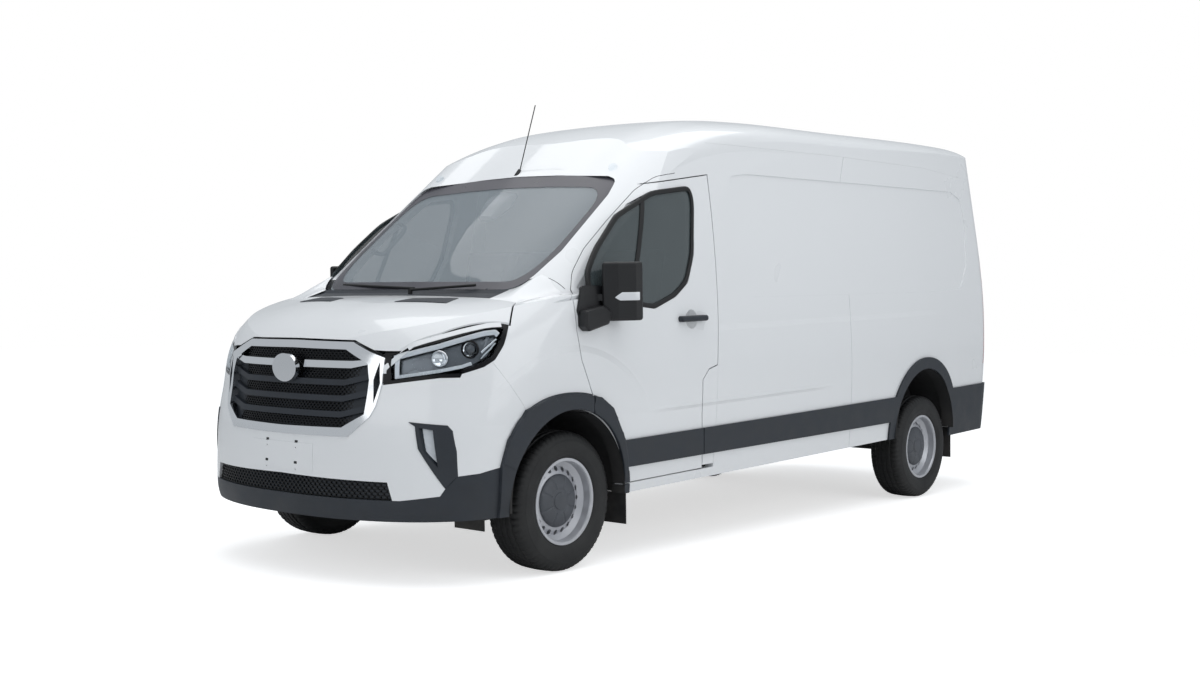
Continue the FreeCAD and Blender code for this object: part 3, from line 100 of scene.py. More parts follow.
# %% [markdown]
# A white van is hard to light: too much light and every crease burns out. The
# world gives an even, slightly cool fill, and three soft panels shape the body
# from above, from its side and from the front. The camera alone sees a white
# world, through Is Camera Ray, so the background costs no light on the paint.

# %% Studio light
FILL_COLOUR, FILL_STRENGTH = (0.90, 0.95, 1.0), 0.52
PANELS = (("overhead", (0.5, -0.5, 6.5), (0, 0, 0), (8.0, 10.0), 290),
          ("side", (8.5, 0.5, 3.2), (0, 0.3, 1.2), (7.0, 4.0), 100),
          ("front", (1.5, -9.5, 3.6), (0, -1.5, 1.2), (6.0, 3.5), 60))

scene.view_settings.view_transform = "Standard"
world = bpy.data.worlds.new("Studio")
scene.world = world
world.use_nodes = True
studio = world.node_tree
studio.nodes.clear()


def background(colour, strength):
    """A background shader of one colour, and its output."""
    node = studio.nodes.new("ShaderNodeBackground")
    node.inputs["Color"].default_value = (*colour, 1)
    node.inputs["Strength"].default_value = strength
    return node.outputs["Background"]


rays = studio.nodes.new("ShaderNodeLightPath")
choose = studio.nodes.new("ShaderNodeMixShader")
world_out = studio.nodes.new("ShaderNodeOutputWorld")
studio.links.new(rays.outputs["Is Camera Ray"], choose.inputs["Fac"])
studio.links.new(background(FILL_COLOUR, FILL_STRENGTH), choose.inputs[1])
studio.links.new(background((1.0, 1.0, 1.0), 1.0), choose.inputs[2])
studio.links.new(choose.outputs["Shader"], world_out.inputs["Surface"])

for name, place, aim_at, size, watts in PANELS:
    lamp_data = bpy.data.lights.new(name, "AREA")
    lamp_data.shape = "RECTANGLE"
    lamp_data.size, lamp_data.size_y = size
    lamp_data.energy = watts
    lamp = bpy.data.objects.new(name, lamp_data)
    scene.collection.objects.link(lamp)
    direction = Vector(aim_at) - Vector(place)
    lamp.rotation_euler = direction.to_track_quat("-Z", "Y").to_euler()
    lamp.location = place
print("soft panels:", len(PANELS))

# %% [markdown]
# Materials share a few effects, each a node group with named sockets: a fine
# grain for moulded plastic, a film of road dust that thickens towards the
# ground, and the lines pressed into the side panels. The same nodes could be
# copied into every material, but then a change would have to be made many
# times. A group puts out colours, masks and heights only, and the Principled
# shader stays in the material.

# %% Node helpers
def new_group(name, inputs, outputs):
    """An empty shader group with its sockets, given as (name, kind, value)."""
    group = bpy.data.node_groups.new(name, "ShaderNodeTree")
    kinds = {"colour": "NodeSocketColor", "number": "NodeSocketFloat"}
    for label, kind, value in inputs:
        socket = group.interface.new_socket(label, in_out="INPUT", socket_type=kinds[kind])
        socket.default_value = value
    for label, kind in outputs:
        group.interface.new_socket(label, in_out="OUTPUT", socket_type=kinds[kind])
    return group, group.nodes.new("NodeGroupInput").outputs, group.nodes.new(
        "NodeGroupOutput").inputs


def feed(tree, socket, value):
    """Link a socket to another node's output, or set it to a plain value."""
    if hasattr(value, "is_linked"):
        tree.links.new(value, socket)
    elif value is not None:
        socket.default_value = value


def number(tree, operation, first, second=None):
    """A maths step between two values, each a socket or a plain number."""
    node = tree.nodes.new("ShaderNodeMath")
    node.operation = operation
    for socket, value in zip(node.inputs, (first, second)):
        feed(tree, socket, value)
    return node.outputs["Value"]


def ramp(tree, source, low, high, start=0.0, end=1.0):
    """Map one range of a value to another, clamped at both ends."""
    node = tree.nodes.new("ShaderNodeMapRange")
    for label, value in (("Value", source), ("From Min", low), ("From Max", high),
                         ("To Min", start), ("To Max", end)):
        feed(tree, node.inputs[label], value)
    return node.outputs["Result"]


def noise(tree, place, scale, detail):
    """Cloudy noise over a place."""
    node = tree.nodes.new("ShaderNodeTexNoise")
    for label, value in (("Vector", place), ("Scale", scale), ("Detail", detail)):
        feed(tree, node.inputs[label], value)
    return node.outputs["Fac"]


def blend_colour(tree, share, first, second):
    """Two colours mixed by a share."""
    node = tree.nodes.new("ShaderNodeMix")
    node.data_type = "RGBA"
    for label, value in (("Factor", share), ("A", first), ("B", second)):
        feed(tree, next(s for s in node.inputs if s.name == label and s.enabled), value)
    return next(s for s in node.outputs if s.enabled)


def place_of(tree):
    """Places in metres, the same for every piece because each stands at the origin."""
    return tree.nodes.new("ShaderNodeTexCoord").outputs["Object"]


print("node helpers ready")

# %% [markdown]
# Moulded plastic and rubber are never one flat tone: the colour drifts a little
# over a hand's breadth, and the skin has a fine pebbled grain. The grain could
# be noise, but the smooth cells of a Voronoi texture look more like the etched
# tool that such parts come from.

# %% Moulded grain
grain, given, put_out = new_group(
    "MouldedGrain",
    [("Colour", "colour", (0.05, 0.05, 0.055, 1)), ("Roughness", "number", 0.6),
     ("Size", "number", 900.0)],
    [("Colour", "colour"), ("Roughness", "number"), ("Height", "number")])
cells = grain.nodes.new("ShaderNodeTexVoronoi")
cells.feature = "SMOOTH_F1"
feed(grain, cells.inputs["Vector"], place_of(grain))
feed(grain, cells.inputs["Scale"], given["Size"])
cloud = noise(grain, place_of(grain), 9.0, 4.0)
tinted = grain.nodes.new("ShaderNodeVectorMath")
tinted.operation = "SCALE"
feed(grain, tinted.inputs[0], given["Colour"])
feed(grain, tinted.inputs["Scale"], ramp(grain, cloud, 0.3, 0.7, 0.86, 1.14))
feed(grain, put_out["Colour"], tinted.outputs["Vector"])
feed(grain, put_out["Roughness"],
     number(grain, "MULTIPLY", given["Roughness"], ramp(grain, cloud, 0.3, 0.7, 0.9, 1.1)))
feed(grain, put_out["Height"], cells.outputs["Distance"])
print("effect:", grain.name)

# %% [markdown]
# Even a clean van carries some dust along its sills. It could be painted into a
# picture, but then it would need a map for each panel. Here the share of dust
# falls with height above the ground, broken up by noise, so one group serves
# every piece.

# %% Road dust
dust, given, put_out = new_group(
    "RoadDust",
    [("Colour", "colour", (0.8, 0.8, 0.8, 1)), ("Dust", "colour", (0.32, 0.30, 0.27, 1)),
     ("Amount", "number", 0.3), ("Top", "number", 0.7)],
    [("Colour", "colour"), ("Mask", "number")])
split = dust.nodes.new("ShaderNodeSeparateXYZ")
feed(dust, split.inputs["Vector"], place_of(dust))
near_ground = ramp(dust, split.outputs["Z"], 0.0, given["Top"], 1.0, 0.0)
patches = ramp(dust, noise(dust, place_of(dust), 5.0, 6.0), 0.35, 0.75)
mask = number(dust, "MULTIPLY", number(dust, "MULTIPLY", near_ground, patches), given["Amount"])
feed(dust, put_out["Colour"], blend_colour(dust, mask, given["Colour"], given["Dust"]))
feed(dust, put_out["Mask"], mask)
print("effect:", dust.name)

# %% [markdown]
# Soft lines are pressed into the side of the body: a fold that rings the front
# arch, a low line above the cladding and a wide shelf along the waist. They are
# only a few millimetres deep, so they are a height for a Bump node, worked out
# from the place on the body. The two long lines follow the body's own level,
# which is tipped nose down by 0.0297 for each metre.

# %% Pressed lines
AXLE_Y, AXLE_Z = -1.955, 0.352
ARCH_CENTRE_Z = 0.385
RAKE = 0.0297
FOLD_REACH = (0.715, 0.745)
LOW_LINE_Z, LOW_LINE_HALF = 0.757, 0.016
WAIST_Z = (1.150, 1.185)

pressed, given, put_out = new_group("PressedLines", [], [("Height", "number")])
split = pressed.nodes.new("ShaderNodeSeparateXYZ")
feed(pressed, split.inputs["Vector"], place_of(pressed))
x, y, z = (split.outputs[axis] for axis in "XYZ")
aft = number(pressed, "SUBTRACT", y, AXLE_Y)
level = number(pressed, "SUBTRACT", z, number(pressed, "MULTIPLY", aft, RAKE))
on_side = ramp(pressed, number(pressed, "ABSOLUTE", x), 0.94, 0.97)
up = number(pressed, "SUBTRACT", z, ARCH_CENTRE_Z)
reach = number(pressed, "SQRT", number(pressed, "ADD", number(pressed, "MULTIPLY", aft, aft),
                                       number(pressed, "MULTIPLY", up, up)))
arch_fold = number(pressed, "MULTIPLY", ramp(pressed, reach, *FOLD_REACH, 1.0, 0.0),
                   ramp(pressed, up, 0.38, 0.62))
off_line = number(pressed, "ABSOLUTE", number(pressed, "SUBTRACT", level, LOW_LINE_Z))
low_line = number(pressed, "MULTIPLY", ramp(pressed, off_line, 0.0, LOW_LINE_HALF, 1.0, 0.0),
                  number(pressed, "MULTIPLY", ramp(pressed, y, -1.36, -1.10),
                         ramp(pressed, y, 0.30, 0.55, 1.0, 0.0)))
waist = number(pressed, "MULTIPLY", ramp(pressed, level, *WAIST_Z, 1.0, 0.0),
               number(pressed, "MULTIPLY", ramp(pressed, y, -0.90, -0.45),
                      ramp(pressed, y, 1.20, 2.10, 1.0, 0.0)))
height = number(pressed, "ADD", number(pressed, "MULTIPLY", arch_fold, 0.8),
                number(pressed, "ADD", number(pressed, "MULTIPLY", low_line, 0.5),
                       number(pressed, "MULTIPLY", waist, 0.5)))
feed(pressed, put_out["Height"], number(pressed, "MULTIPLY", height, on_side))
print("effect:", pressed.name)

# %% [markdown]
# Four recipes cover the van: moulded plastic or rubber, sprayed paint, thin
# glass, and woven cloth. A value that is the same all over a surface is set on
# the shader's own socket, where an exported model still finds it, and only what
# changes from place to place comes through a link.

# %% Recipe for plastic, rubber and cast metal
def new_material(name, **sockets):
    """A Principled material; keyword values go straight onto the shader's own sockets."""
    material = bpy.data.materials.new(name)
    material.use_nodes = True
    shader = material.node_tree.nodes["Principled BSDF"]
    for label, value in sockets.items():
        shader.inputs[label.replace("_", " ")].default_value = value
    return material, material.node_tree, shader.inputs


def add_group(tree, group, **values):
    """A shared effect placed in a material with its own values."""
    node = tree.nodes.new("ShaderNodeGroup")
    node.node_tree = group
    for label, value in values.items():
        feed(tree, node.inputs[label], value)
    return node.outputs


def bumped(tree, height, strength, distance, under=None):
    """A normal that leans with a height, over another normal if one is given."""
    bump = tree.nodes.new("ShaderNodeBump")
    for label, value in (("Strength", strength), ("Distance", distance), ("Height", height),
                         ("Normal", under)):
        feed(tree, bump.inputs[label], value)
    return bump.outputs["Normal"]


def grained(name, colour, roughness, size, depth, dusty=0.0, **sockets):
    """Moulded plastic or rubber: tone that drifts, a fine cell grain, and road dust low down."""
    material, tree, shader = new_material(name, **sockets)
    mould = add_group(tree, grain, Colour=(*colour, 1), Roughness=roughness, Size=size)
    source = mould["Colour"]
    if dusty:
        source = add_group(tree, dust, Amount=dusty, Colour=source)["Colour"]
    feed(tree, shader["Base Color"], source)
    feed(tree, shader["Roughness"], mould["Roughness"])
    feed(tree, shader["Normal"], bumped(tree, mould["Height"], 0.35, depth))
    return material


dark_plastic = grained("DarkPlastic", (0.015, 0.020, 0.028), 0.52, 700.0, 0.0004, 0.06)
black_plastic = grained("BlackPlastic", (0.003, 0.0035, 0.005), 0.46, 700.0, 0.0003)
cab_plastic = grained("CabPlastic", (0.045, 0.047, 0.052), 0.58, 1100.0, 0.0003)
tank_plastic = grained("TankPlastic", (0.02, 0.02, 0.021), 0.5, 400.0, 0.0006, 0.3)
pod_grey = grained("PodGrey", (0.15, 0.155, 0.165), 0.55, 1100.0, 0.0002)
cap_grey = grained("CapGrey", (0.075, 0.082, 0.095), 0.48, 600.0, 0.0003, 0.08, Metallic=0.2)
screen_print = grained("ScreenPrint", (0.055, 0.053, 0.066), 0.30, 2500.0, 0.0001)
seam_black = grained("SeamBlack", (0.02, 0.022, 0.026), 0.8, 900.0, 0.0001)
black_rubber = grained("BlackRubber", (0.004, 0.0042, 0.005), 0.60, 1200.0, 0.0003, 0.03)
tyre_rubber = grained("TyreRubber", (0.0055, 0.006, 0.0065), 0.60, 1500.0, 0.0004, 0.04)
lining = grained("WheelLiner", (0.015, 0.015, 0.016), 0.78, 500.0, 0.0008, 0.3)
floor_mat = grained("FloorMat", (0.035, 0.035, 0.037), 0.72, 400.0, 0.0012)
floor_board = grained("FloorBoard", (0.21, 0.16, 0.11), 0.5, 260.0, 0.0005)
cast_metal = grained("CastMetal", (0.16, 0.16, 0.165), 0.5, 300.0, 0.0008, 0.3, Metallic=0.8)
dull_steel = grained("ExhaustSteel", (0.30, 0.27, 0.24), 0.42, 500.0, 0.0004, 0.35, Metallic=0.9)
print("grained finishes made")

# %% [markdown]
# Sprayed paint has a ripple like the skin of an orange, too fine to see as a
# shape but enough to soften a reflection. The same recipe with Metallic at 1
# gives plated trim, and with a full coat it gives a lens. White is kept near
# 0.8: a purer white would clip under the lamps.

# %% Recipe for paint, plating and lenses
def painted(name, colour, roughness, ripple, dusty=0.0, pressings=0.0, **sockets):
    """Sprayed paint: even colour, a faint orange-peel ripple and, if asked, pressed lines."""
    material, tree, shader = new_material(name, **sockets)
    film = add_group(tree, dust, Colour=(*colour, 1), Amount=dusty, Top=0.55)
    feed(tree, shader["Base Color"], film["Colour"])
    drift = noise(tree, place_of(tree), 3.0, 3.0)
    feed(tree, shader["Roughness"],
         ramp(tree, drift, 0.3, 0.7, roughness * 0.85, roughness * 1.2))
    under = None
    if pressings:
        under = bumped(tree, add_group(tree, pressed)["Height"], 1.0, pressings)
    peel = noise(tree, place_of(tree), 420.0, 2.0)
    feed(tree, shader["Normal"], bumped(tree, peel, 0.08, ripple, under))
    return material


white_paint = painted("WhitePaint", (0.80, 0.815, 0.83), 0.32, 0.0004, 0.12, 0.014,
                      Coat_Weight=0.8, Coat_Roughness=0.05)
wheel_paint = painted("WheelSilver", (0.52, 0.53, 0.56), 0.36, 0.0003, 0.12, Metallic=0.55)
chassis_paint = painted("ChassisBlack", (0.022, 0.022, 0.023), 0.45, 0.0008, 0.35)
plate_white = painted("PlateBlank", (0.70, 0.70, 0.69), 0.35, 0.0002)
gloss_black = painted("GlossBlack", (0.003, 0.003, 0.004), 0.22, 0.0002, Specular_IOR_Level=0.25)
mesh_black = painted("MeshBlack", (0.0035, 0.004, 0.005), 0.35, 0.0002, Specular_IOR_Level=0.3)
chrome = painted("Chrome", (0.84, 0.855, 0.875), 0.13, 0.0001, Metallic=1.0)
mirror_silver = painted("MirrorGlass", (0.72, 0.75, 0.77), 0.02, 0.0000, Metallic=1.0)
lamp_silver = painted("Reflector", (0.80, 0.81, 0.83), 0.06, 0.0004, Metallic=1.0)
tray_grey = painted("LampTray", (0.17, 0.18, 0.195), 0.25, 0.0003, Metallic=0.7)
red_lens = painted("RedLens", (0.42, 0.008, 0.008), 0.08, 0.0002, Coat_Weight=1.0)
amber_lens = painted("AmberLens", (0.60, 0.16, 0.01), 0.08, 0.0002, Coat_Weight=1.0)
clear_strip = painted("ClearStrip", (0.70, 0.72, 0.75), 0.10, 0.0005, Coat_Weight=1.0)
projector_glass = painted("Projector", (0.05, 0.055, 0.065), 0.03, 0.0001, Coat_Weight=1.0)
print("painted finishes made")

# %% [markdown]
# Window glass could be a transmission shader, but two sheets of it leave the
# cab almost black. Thin glass is drawn as a coloured, glossy layer over a clear
# one, and the layer's share grows towards grazing angles, so its Alpha follows
# Layer Weight. On the screen the layer's light grey-blue is a painted
# reflection, added to the real gloss of its surface; on the doors the layer is
# a dark tint. The lamp cover is real clear plastic: full transmission with
# hardly any bending.

# %% Recipes for glass
def pane(name, colour, facing, grazing):
    """Thin glass: the share of its coloured layer runs from facing to grazing, by Layer Weight; a
    light layer colour is a painted reflection, a dark one a tint.
    """
    material, tree, shader = new_material(name, IOR=1.5, Roughness=0.03, Coat_Weight=1.0)
    shader["Base Color"].default_value = (*colour, 1)
    weight = tree.nodes.new("ShaderNodeLayerWeight")
    weight.inputs["Blend"].default_value = 0.35
    feed(tree, shader["Alpha"], ramp(tree, weight.outputs["Facing"], 0.0, 1.0, facing, grazing))
    return material


# The screen's light grey-blue layer is a painted reflection; only its gloss is real.
screen_glass = pane("ScreenGlass", (0.42, 0.49, 0.54), 0.12, 0.52)
door_glass = pane("DoorGlass", (0.075, 0.095, 0.10), 0.62, 0.92)
lamp_cover, _, shader = new_material("LampCover", IOR=1.03, Roughness=0.0,
                                     Transmission_Weight=1.0)
shader["Base Color"].default_value = (0.92, 0.95, 0.97, 1)
print("glass made")

# %% [markdown]
# The seats are covered in a flat weave. A picture of cloth would do, but two
# crossed waves give the threads at any distance, and a lighter fleck stops the
# surface from looking printed.

# %% Recipe for seat cloth
def woven(name, colour, thread):
    """Seat fabric: two crossed bands of thread, a lighter fleck, and a soft sheen."""
    material, tree, shader = new_material(name, Sheen_Weight=0.35, Roughness=0.85)
    heights = []
    for direction in ("X", "Z"):
        band = tree.nodes.new("ShaderNodeTexWave")
        band.bands_direction = direction
        feed(tree, band.inputs["Scale"], thread)
        feed(tree, band.inputs["Vector"], place_of(tree))
        heights.append(band.outputs["Fac"])
    fleck = ramp(tree, noise(tree, place_of(tree), 160.0, 3.0), 0.45, 0.65)
    feed(tree, shader["Base Color"],
         blend_colour(tree, fleck, (*colour, 1), (*(1.7 * c for c in colour), 1)))
    feed(tree, shader["Normal"], bumped(tree, number(tree, "MAXIMUM", *heights), 0.5, 0.0008))
    return material


seat_cloth = woven("SeatCloth", (0.050, 0.053, 0.060), 260.0)
print("cloth made")

# %% [markdown]
# Every rigid node names the kind of material that it is made of, and a few
# nodes take a finish of their own: the tinted door glass, for one, is darker
# than the screen.

# %% Finishes of the rigid nodes
slot_finish = {
    "body_white": white_paint, "dark_plastic": dark_plastic, "chrome_trim": chrome,
    "lamp_clear": lamp_cover, "gloss_black": gloss_black, "lamp_red": red_lens,
    "glass": screen_glass, "floor_board": floor_board, "cab_mat": floor_mat,
    "cab_plastic": cab_plastic, "black_steel": chassis_paint, "seat_cloth": seat_cloth,
    "cast_grey": cast_metal, "tank_plastic": tank_plastic, "exhaust_steel": dull_steel,
    "spare_tyre": tyre_rubber, "tyre": tyre_rubber, "wheel_silver": wheel_paint}
node_finish = {
    "door_glass_left": door_glass, "door_glass_right": door_glass, "arch_liners": lining,
    "wipers": black_rubber, "mirror_left": black_plastic, "mirror_right": black_plastic,
    "antenna": black_rubber, "side_cladding": dark_plastic}
for part in frame["record"]["subparts"]:
    name = part["node"]
    mesh = nodes[name].data
    mesh.materials.clear()
    mesh.materials.append(node_finish.get(name, slot_finish[part["material_slot"]]))
print("finishes:", len(slot_finish), "by material and", len(node_finish), "by node")

# %% [markdown]
# The body stands nose down, turned about the front axle. Places on it are
# easier to give as if it stood level, so every new piece is drawn level and
# then tipped with the body. To sit on a curved panel, its points are dropped
# onto the panel along a view. A Shrinkwrap modifier could do that too, but
# rays give the surface's normal at the same time.

# %% Places on the body
TILT = math.radians(1.7)
PIVOT = np.array([0.0, AXLE_Y, AXLE_Z])
VIEWS = {"side": (-1, 0, 0), "front": (0, 1, 0), "top": (0, 0, -1), "back": (0, -1, 0)}


def turned(vectors, angle=TILT):
    """Directions turned about x: y' = cos y - sin z, z' = sin y + cos z."""
    vectors = np.array(vectors, dtype=float)
    y, z = vectors[..., 1].copy(), vectors[..., 2].copy()
    vectors[..., 1] = math.cos(angle) * y - math.sin(angle) * z
    vectors[..., 2] = math.sin(angle) * y + math.cos(angle) * z
    return vectors


def tipped(points):
    """Points of the level body, turned about the front axle to where the van stands."""
    return turned(np.asarray(points, dtype=float) - PIVOT) + PIVOT


def skin_of(*names):
    """A search tree over the faces of some rigid nodes."""
    corners, faces = [], []
    for name in names:
        mesh = nodes[name].data
        base = len(corners)
        corners += [v.co.copy() for v in mesh.vertices]
        faces += [[base + i for i in p.vertices] for p in mesh.polygons]
    return BVHTree.FromPolygons(corners, faces)


def laid(points, tree, view):
    """Drop level-body points onto a skin along a view; gives places and outward normals."""
    ray = Vector(turned(VIEWS[view]))
    found = []
    for start in tipped(points).reshape(-1, 3):
        spot, normal = tree.ray_cast(Vector(start) - ray * 3, ray)[:2]
        if spot is None:
            spot, normal = tree.find_nearest(Vector(start))[:2]
        if normal.dot(ray) > 0:
            normal = -normal
        found.append((*spot, *normal))
    found = np.array(found)
    return found[:, :3].reshape(np.shape(points)), found[:, 3:].reshape(np.shape(points))


def upright(across, up, depth):
    """Points of an upright sheet: x and z are two grids, and y is the same everywhere."""
    across, up = np.broadcast_arrays(across, up)
    return np.stack([across, np.full(across.shape, depth), up], axis=-1)


print("the body is tipped by", round(math.degrees(TILT), 2), "degrees")

# %% [markdown]
# Many pieces start as a line: the edge of a window, the rim of an arch. These
# helpers walk a line in even steps, ease its corners, move it inwards and test
# what lies inside it. Curve objects could be used, but numpy keeps every step
# in view, and the same points go on to become the mesh.

# %% Lines
def eased(points, step, soft, closed=True):
    """A polyline walked in even steps, its corners eased by averaging each point's neighbours."""
    points = np.asarray(points, dtype=float)
    line = np.vstack([points, points[:1]]) if closed else points
    run = np.concatenate([[0.0], np.cumsum(np.linalg.norm(np.diff(line, axis=0), axis=1))])
    at = np.linspace(0, run[-1], max(int(run[-1] / step), 4), endpoint=not closed)
    walk = np.stack([np.interp(at, run, line[:, k]) for k in range(line.shape[1])], axis=1)
    for _ in range(soft):
        near = (np.roll(walk, 1, 0) + 2 * walk + np.roll(walk, -1, 0)) / 4
        if not closed:
            near[0], near[-1] = walk[0], walk[-1]
        walk = near
    return walk


def inset(walk, distance):
    """A closed flat outline moved inwards, each point along its own normal."""
    along = np.roll(walk, -1, 0) - np.roll(walk, 1, 0)
    normal = np.stack([-along[:, 1], along[:, 0]], axis=1)
    normal /= np.linalg.norm(normal, axis=1)[:, None]
    x, y = walk[:, 0], walk[:, 1]
    turn = np.sign(np.sum(x * np.roll(y, -1) - np.roll(x, -1) * y))
    return walk + normal * distance * turn


def inside(outline, x, z):
    """Which points lie inside a closed outline: those with an odd count of edges beside them."""
    odd = np.zeros(np.shape(x), dtype=bool)
    for (x0, z0), (x1, z1) in zip(outline, np.roll(outline, -1, 0)):
        crosses = (z0 > z) != (z1 > z)
        gap = z1 - z0 if z1 != z0 else 1e-9
        odd ^= crosses & (x < (x1 - x0) * (z - z0) / gap + x0)
    return odd


def mirrored_outline(half):
    """A closed (x, z) outline from its half at x above 0, whose ends lie on the middle line."""
    half = np.asarray(half, dtype=float)
    return np.vstack([half, half[::-1] * np.array([-1.0, 1.0])])


def spaced(low, high, count, row=False):
    """Even steps from low to high as a column, or as a row, ready to span a grid."""
    steps = np.linspace(low, high, count)
    return steps[None, :] if row else steps[:, None]


print("line helpers ready")

# %% [markdown]
# Nearly every new piece is a grid: rows and columns of points joined by quads.
# A strip is a grid too, a profile carried along a path. The grid becomes a mesh
# in one call, its doubles are merged, its faces are turned outwards, and it is
# hung under an empty named after the body it rides on.

# %% Grids into meshes
DOORS = ("cab_door_left", "cab_door_right")
VAN = ("van", "van")


def grid_faces(rows, columns, wrap_rows, wrap_columns):
    """Quads between the neighbours of a grid of vertices numbered row by row."""
    i = np.arange(rows if wrap_rows else rows - 1)
    j = np.arange(columns if wrap_columns else columns - 1)
    i, j = (a.ravel() for a in np.meshgrid(i, j, indexing="ij"))
    i2, j2 = (i + 1) % rows, (j + 1) % columns
    return np.stack([i * columns + j, i2 * columns + j, i2 * columns + j2, i * columns + j2],
                    axis=1).tolist()


def add_piece(name, corners, faces, finish, body, sharp=35):
    """A finished mesh piece that rides on a body; faces are turned outwards."""
    data = bpy.data.meshes.new(name)
    data.from_pydata(np.asarray(corners).tolist(), [], faces)
    shape = bmesh.new()
    shape.from_mesh(data)
    bmesh.ops.remove_doubles(shape, verts=shape.verts, dist=1e-6)
    bmesh.ops.recalc_face_normals(shape, faces=shape.faces)
    shape.to_mesh(data)
    shape.free()
    data.polygons.foreach_set("use_smooth", [True] * len(data.polygons))
    data.set_sharp_from_angle(angle=math.radians(sharp))
    data.materials.append(finish)
    piece = bpy.data.objects.new(name, data)
    scene.collection.objects.link(piece)
    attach(piece, body)
    print("made", name, "of", len(data.polygons), "faces, on", body)
    return piece


def grid_piece(name, grid, finish, body, slot, wrap_rows=False, wrap_columns=False, caps=False,
               sharp=35):
    """A piece whose vertices are a grid; caps closes its first and last row with one face."""
    rows, columns = grid.shape[:2]
    faces = grid_faces(rows, columns, wrap_rows, wrap_columns)
    if caps:
        faces += [list(range(columns)), list(range((rows - 1) * columns, rows * columns))]
    return add_piece(name, grid.reshape(-1, 3), faces, finish, body, sharp)


def both_sides(name, grid, finish, bodies, slot, **shape):
    """The same grid piece on the van's left, and mirrored on its right."""
    for side, flip, body in (("_left", 1.0, bodies[0]), ("_right", -1.0, bodies[1])):
        grid_piece(name + side, grid * np.array([flip, 1.0, 1.0]), finish, body, slot, **shape)


def strip(path, ups, profile, closed=False):
    """A profile of (across, up) pairs carried along a path: place + across * side + up * normal."""
    ends = (np.roll(path, -1, 0) - np.roll(path, 1, 0)) if closed else np.gradient(path, axis=0)
    along = ends / np.linalg.norm(ends, axis=1)[:, None]
    across = np.cross(along, ups)
    across /= np.linalg.norm(across, axis=1)[:, None]
    normal = np.cross(across, along)
    profile = np.asarray(profile, dtype=float)
    return (path[:, None] + profile[None, :, :1] * across[:, None]
            + profile[None, :, 1:] * normal[:, None])


def flat_bar(half, low, high, edge=0.002):
    """The section of a flat strip with chamfered upper edges."""
    return [(-half, low), (-half, high - edge), (-half + edge, high), (half - edge, high),
            (half, high - edge), (half, low)]


def four_corners(corners, u, v):
    """A flat patch between four corners: each counts by how near (u, v) is to it."""
    p00, p01, p10, p11 = (np.array(p) for p in corners)
    u, v = u[..., None], v[..., None]
    return p00 * (1 - u) * (1 - v) + p01 * (1 - u) * v + p10 * u * (1 - v) + p11 * u * v


RUN = {"wrap_columns": True, "caps": True}
LOOP = {"wrap_rows": True, "wrap_columns": True}
print("mesh helpers ready")

# %% [markdown]
# A tyre is turned about its axle, but its tread isn't: ribs run round it and
# blocks are cut across its shoulders. It could be a ring of copied blocks. Here
# the radius depends on the place across the tread and on the angle, so the
# ribs, the blocks and the rings on the sidewall all come from one function.

# %% Tyres
REAR_AXLE_Y = 1.805
WHEELS = {"front_left": (0.867, AXLE_Y), "front_right": (-0.867, AXLE_Y),
          "rear_left": (0.863, REAR_AXLE_Y), "rear_right": (-0.863, REAR_AXLE_Y)}
TYRE_SIDE = [(-0.0895, 0.2115), (-0.104, 0.221), (-0.1115, 0.233), (-0.1140, 0.247),
             (-0.1148, 0.2485), (-0.1155, 0.262), (-0.1175, 0.2855), (-0.1165, 0.303),
             (-0.1150, 0.3045), (-0.1115, 0.3175), (-0.1055, 0.3300), (-0.0970, 0.3400),
             (-0.0875, 0.3460), (-0.0700, 0.3495)]
GROOVES = (-0.052, -0.018, 0.018, 0.052)


def tyre_grid(turns=252):
    """Radius over (angle, across): a rounded crown, four grooves, and blocks cut into the
    shoulders at every fourth step round the tyre and into the ribs at every sixth."""
    crown = np.linspace(-0.064, 0.064, 33)
    across = np.concatenate([[a for a, _ in TYRE_SIDE], crown, [-a for a, _ in TYRE_SIDE[::-1]]])
    radius = np.concatenate([[r for _, r in TYRE_SIDE], 0.352 - 0.56 * crown ** 2,
                             [r for _, r in TYRE_SIDE[::-1]]])
    for groove in GROOVES:
        radius = radius - 0.007 * (np.abs(across - groove) < 0.0045)
    step = np.arange(turns)
    angle = step * 2 * math.pi / turns
    shoulder_cut = (step % 4 == 0)[:, None] & ((np.abs(across) > 0.058) & (radius > 0.328))
    rib_cut = (step % 6 == 0)[:, None] & (np.abs(across) < 0.046)
    radius = radius[None, :] - 0.005 * shoulder_cut - 0.003 * rib_cut
    return np.stack([np.broadcast_to(across, radius.shape), radius * np.cos(angle)[:, None],
                     radius * np.sin(angle)[:, None]], axis=2)


def wheel_places():
    """Each wheel's name, its centre, and the factor that turns its outer face outwards."""
    for corner, (x, y) in WHEELS.items():
        yield corner, np.array([x, y, AXLE_Z]), np.array([math.copysign(1.0, x), 1.0, 1.0])


for corner, centre, outward in wheel_places():
    tyre = grid_piece("tread_" + corner, tyre_grid() * outward + centre, tyre_rubber,
                      "wheel_" + corner, "tyre", sharp=28, **LOOP)
    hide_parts("tyre_" + corner)

# %% [markdown]
# A grey cap covers the middle of each steel wheel. Seen from outside it has a
# raised boss, a groove round it and eight fine lines to the rim. It is the same
# idea as the tyre: a height for each ring, lowered where a line runs.

# %% Wheel caps
CAP_RINGS = np.array([0.0, 0.030, 0.041, 0.043, 0.056, 0.059, 0.061, 0.064, 0.090, 0.118, 0.126,
                      0.131, 0.1335, 0.131, 0.06, 0.0])
CAP_HEIGHTS = np.array([0.0735, 0.0735, 0.0728, 0.0695, 0.0695, 0.0695, 0.0710, 0.0716, 0.0708,
                        0.0640, 0.0600, 0.0560, 0.0520, 0.0480, 0.0665, 0.0665])


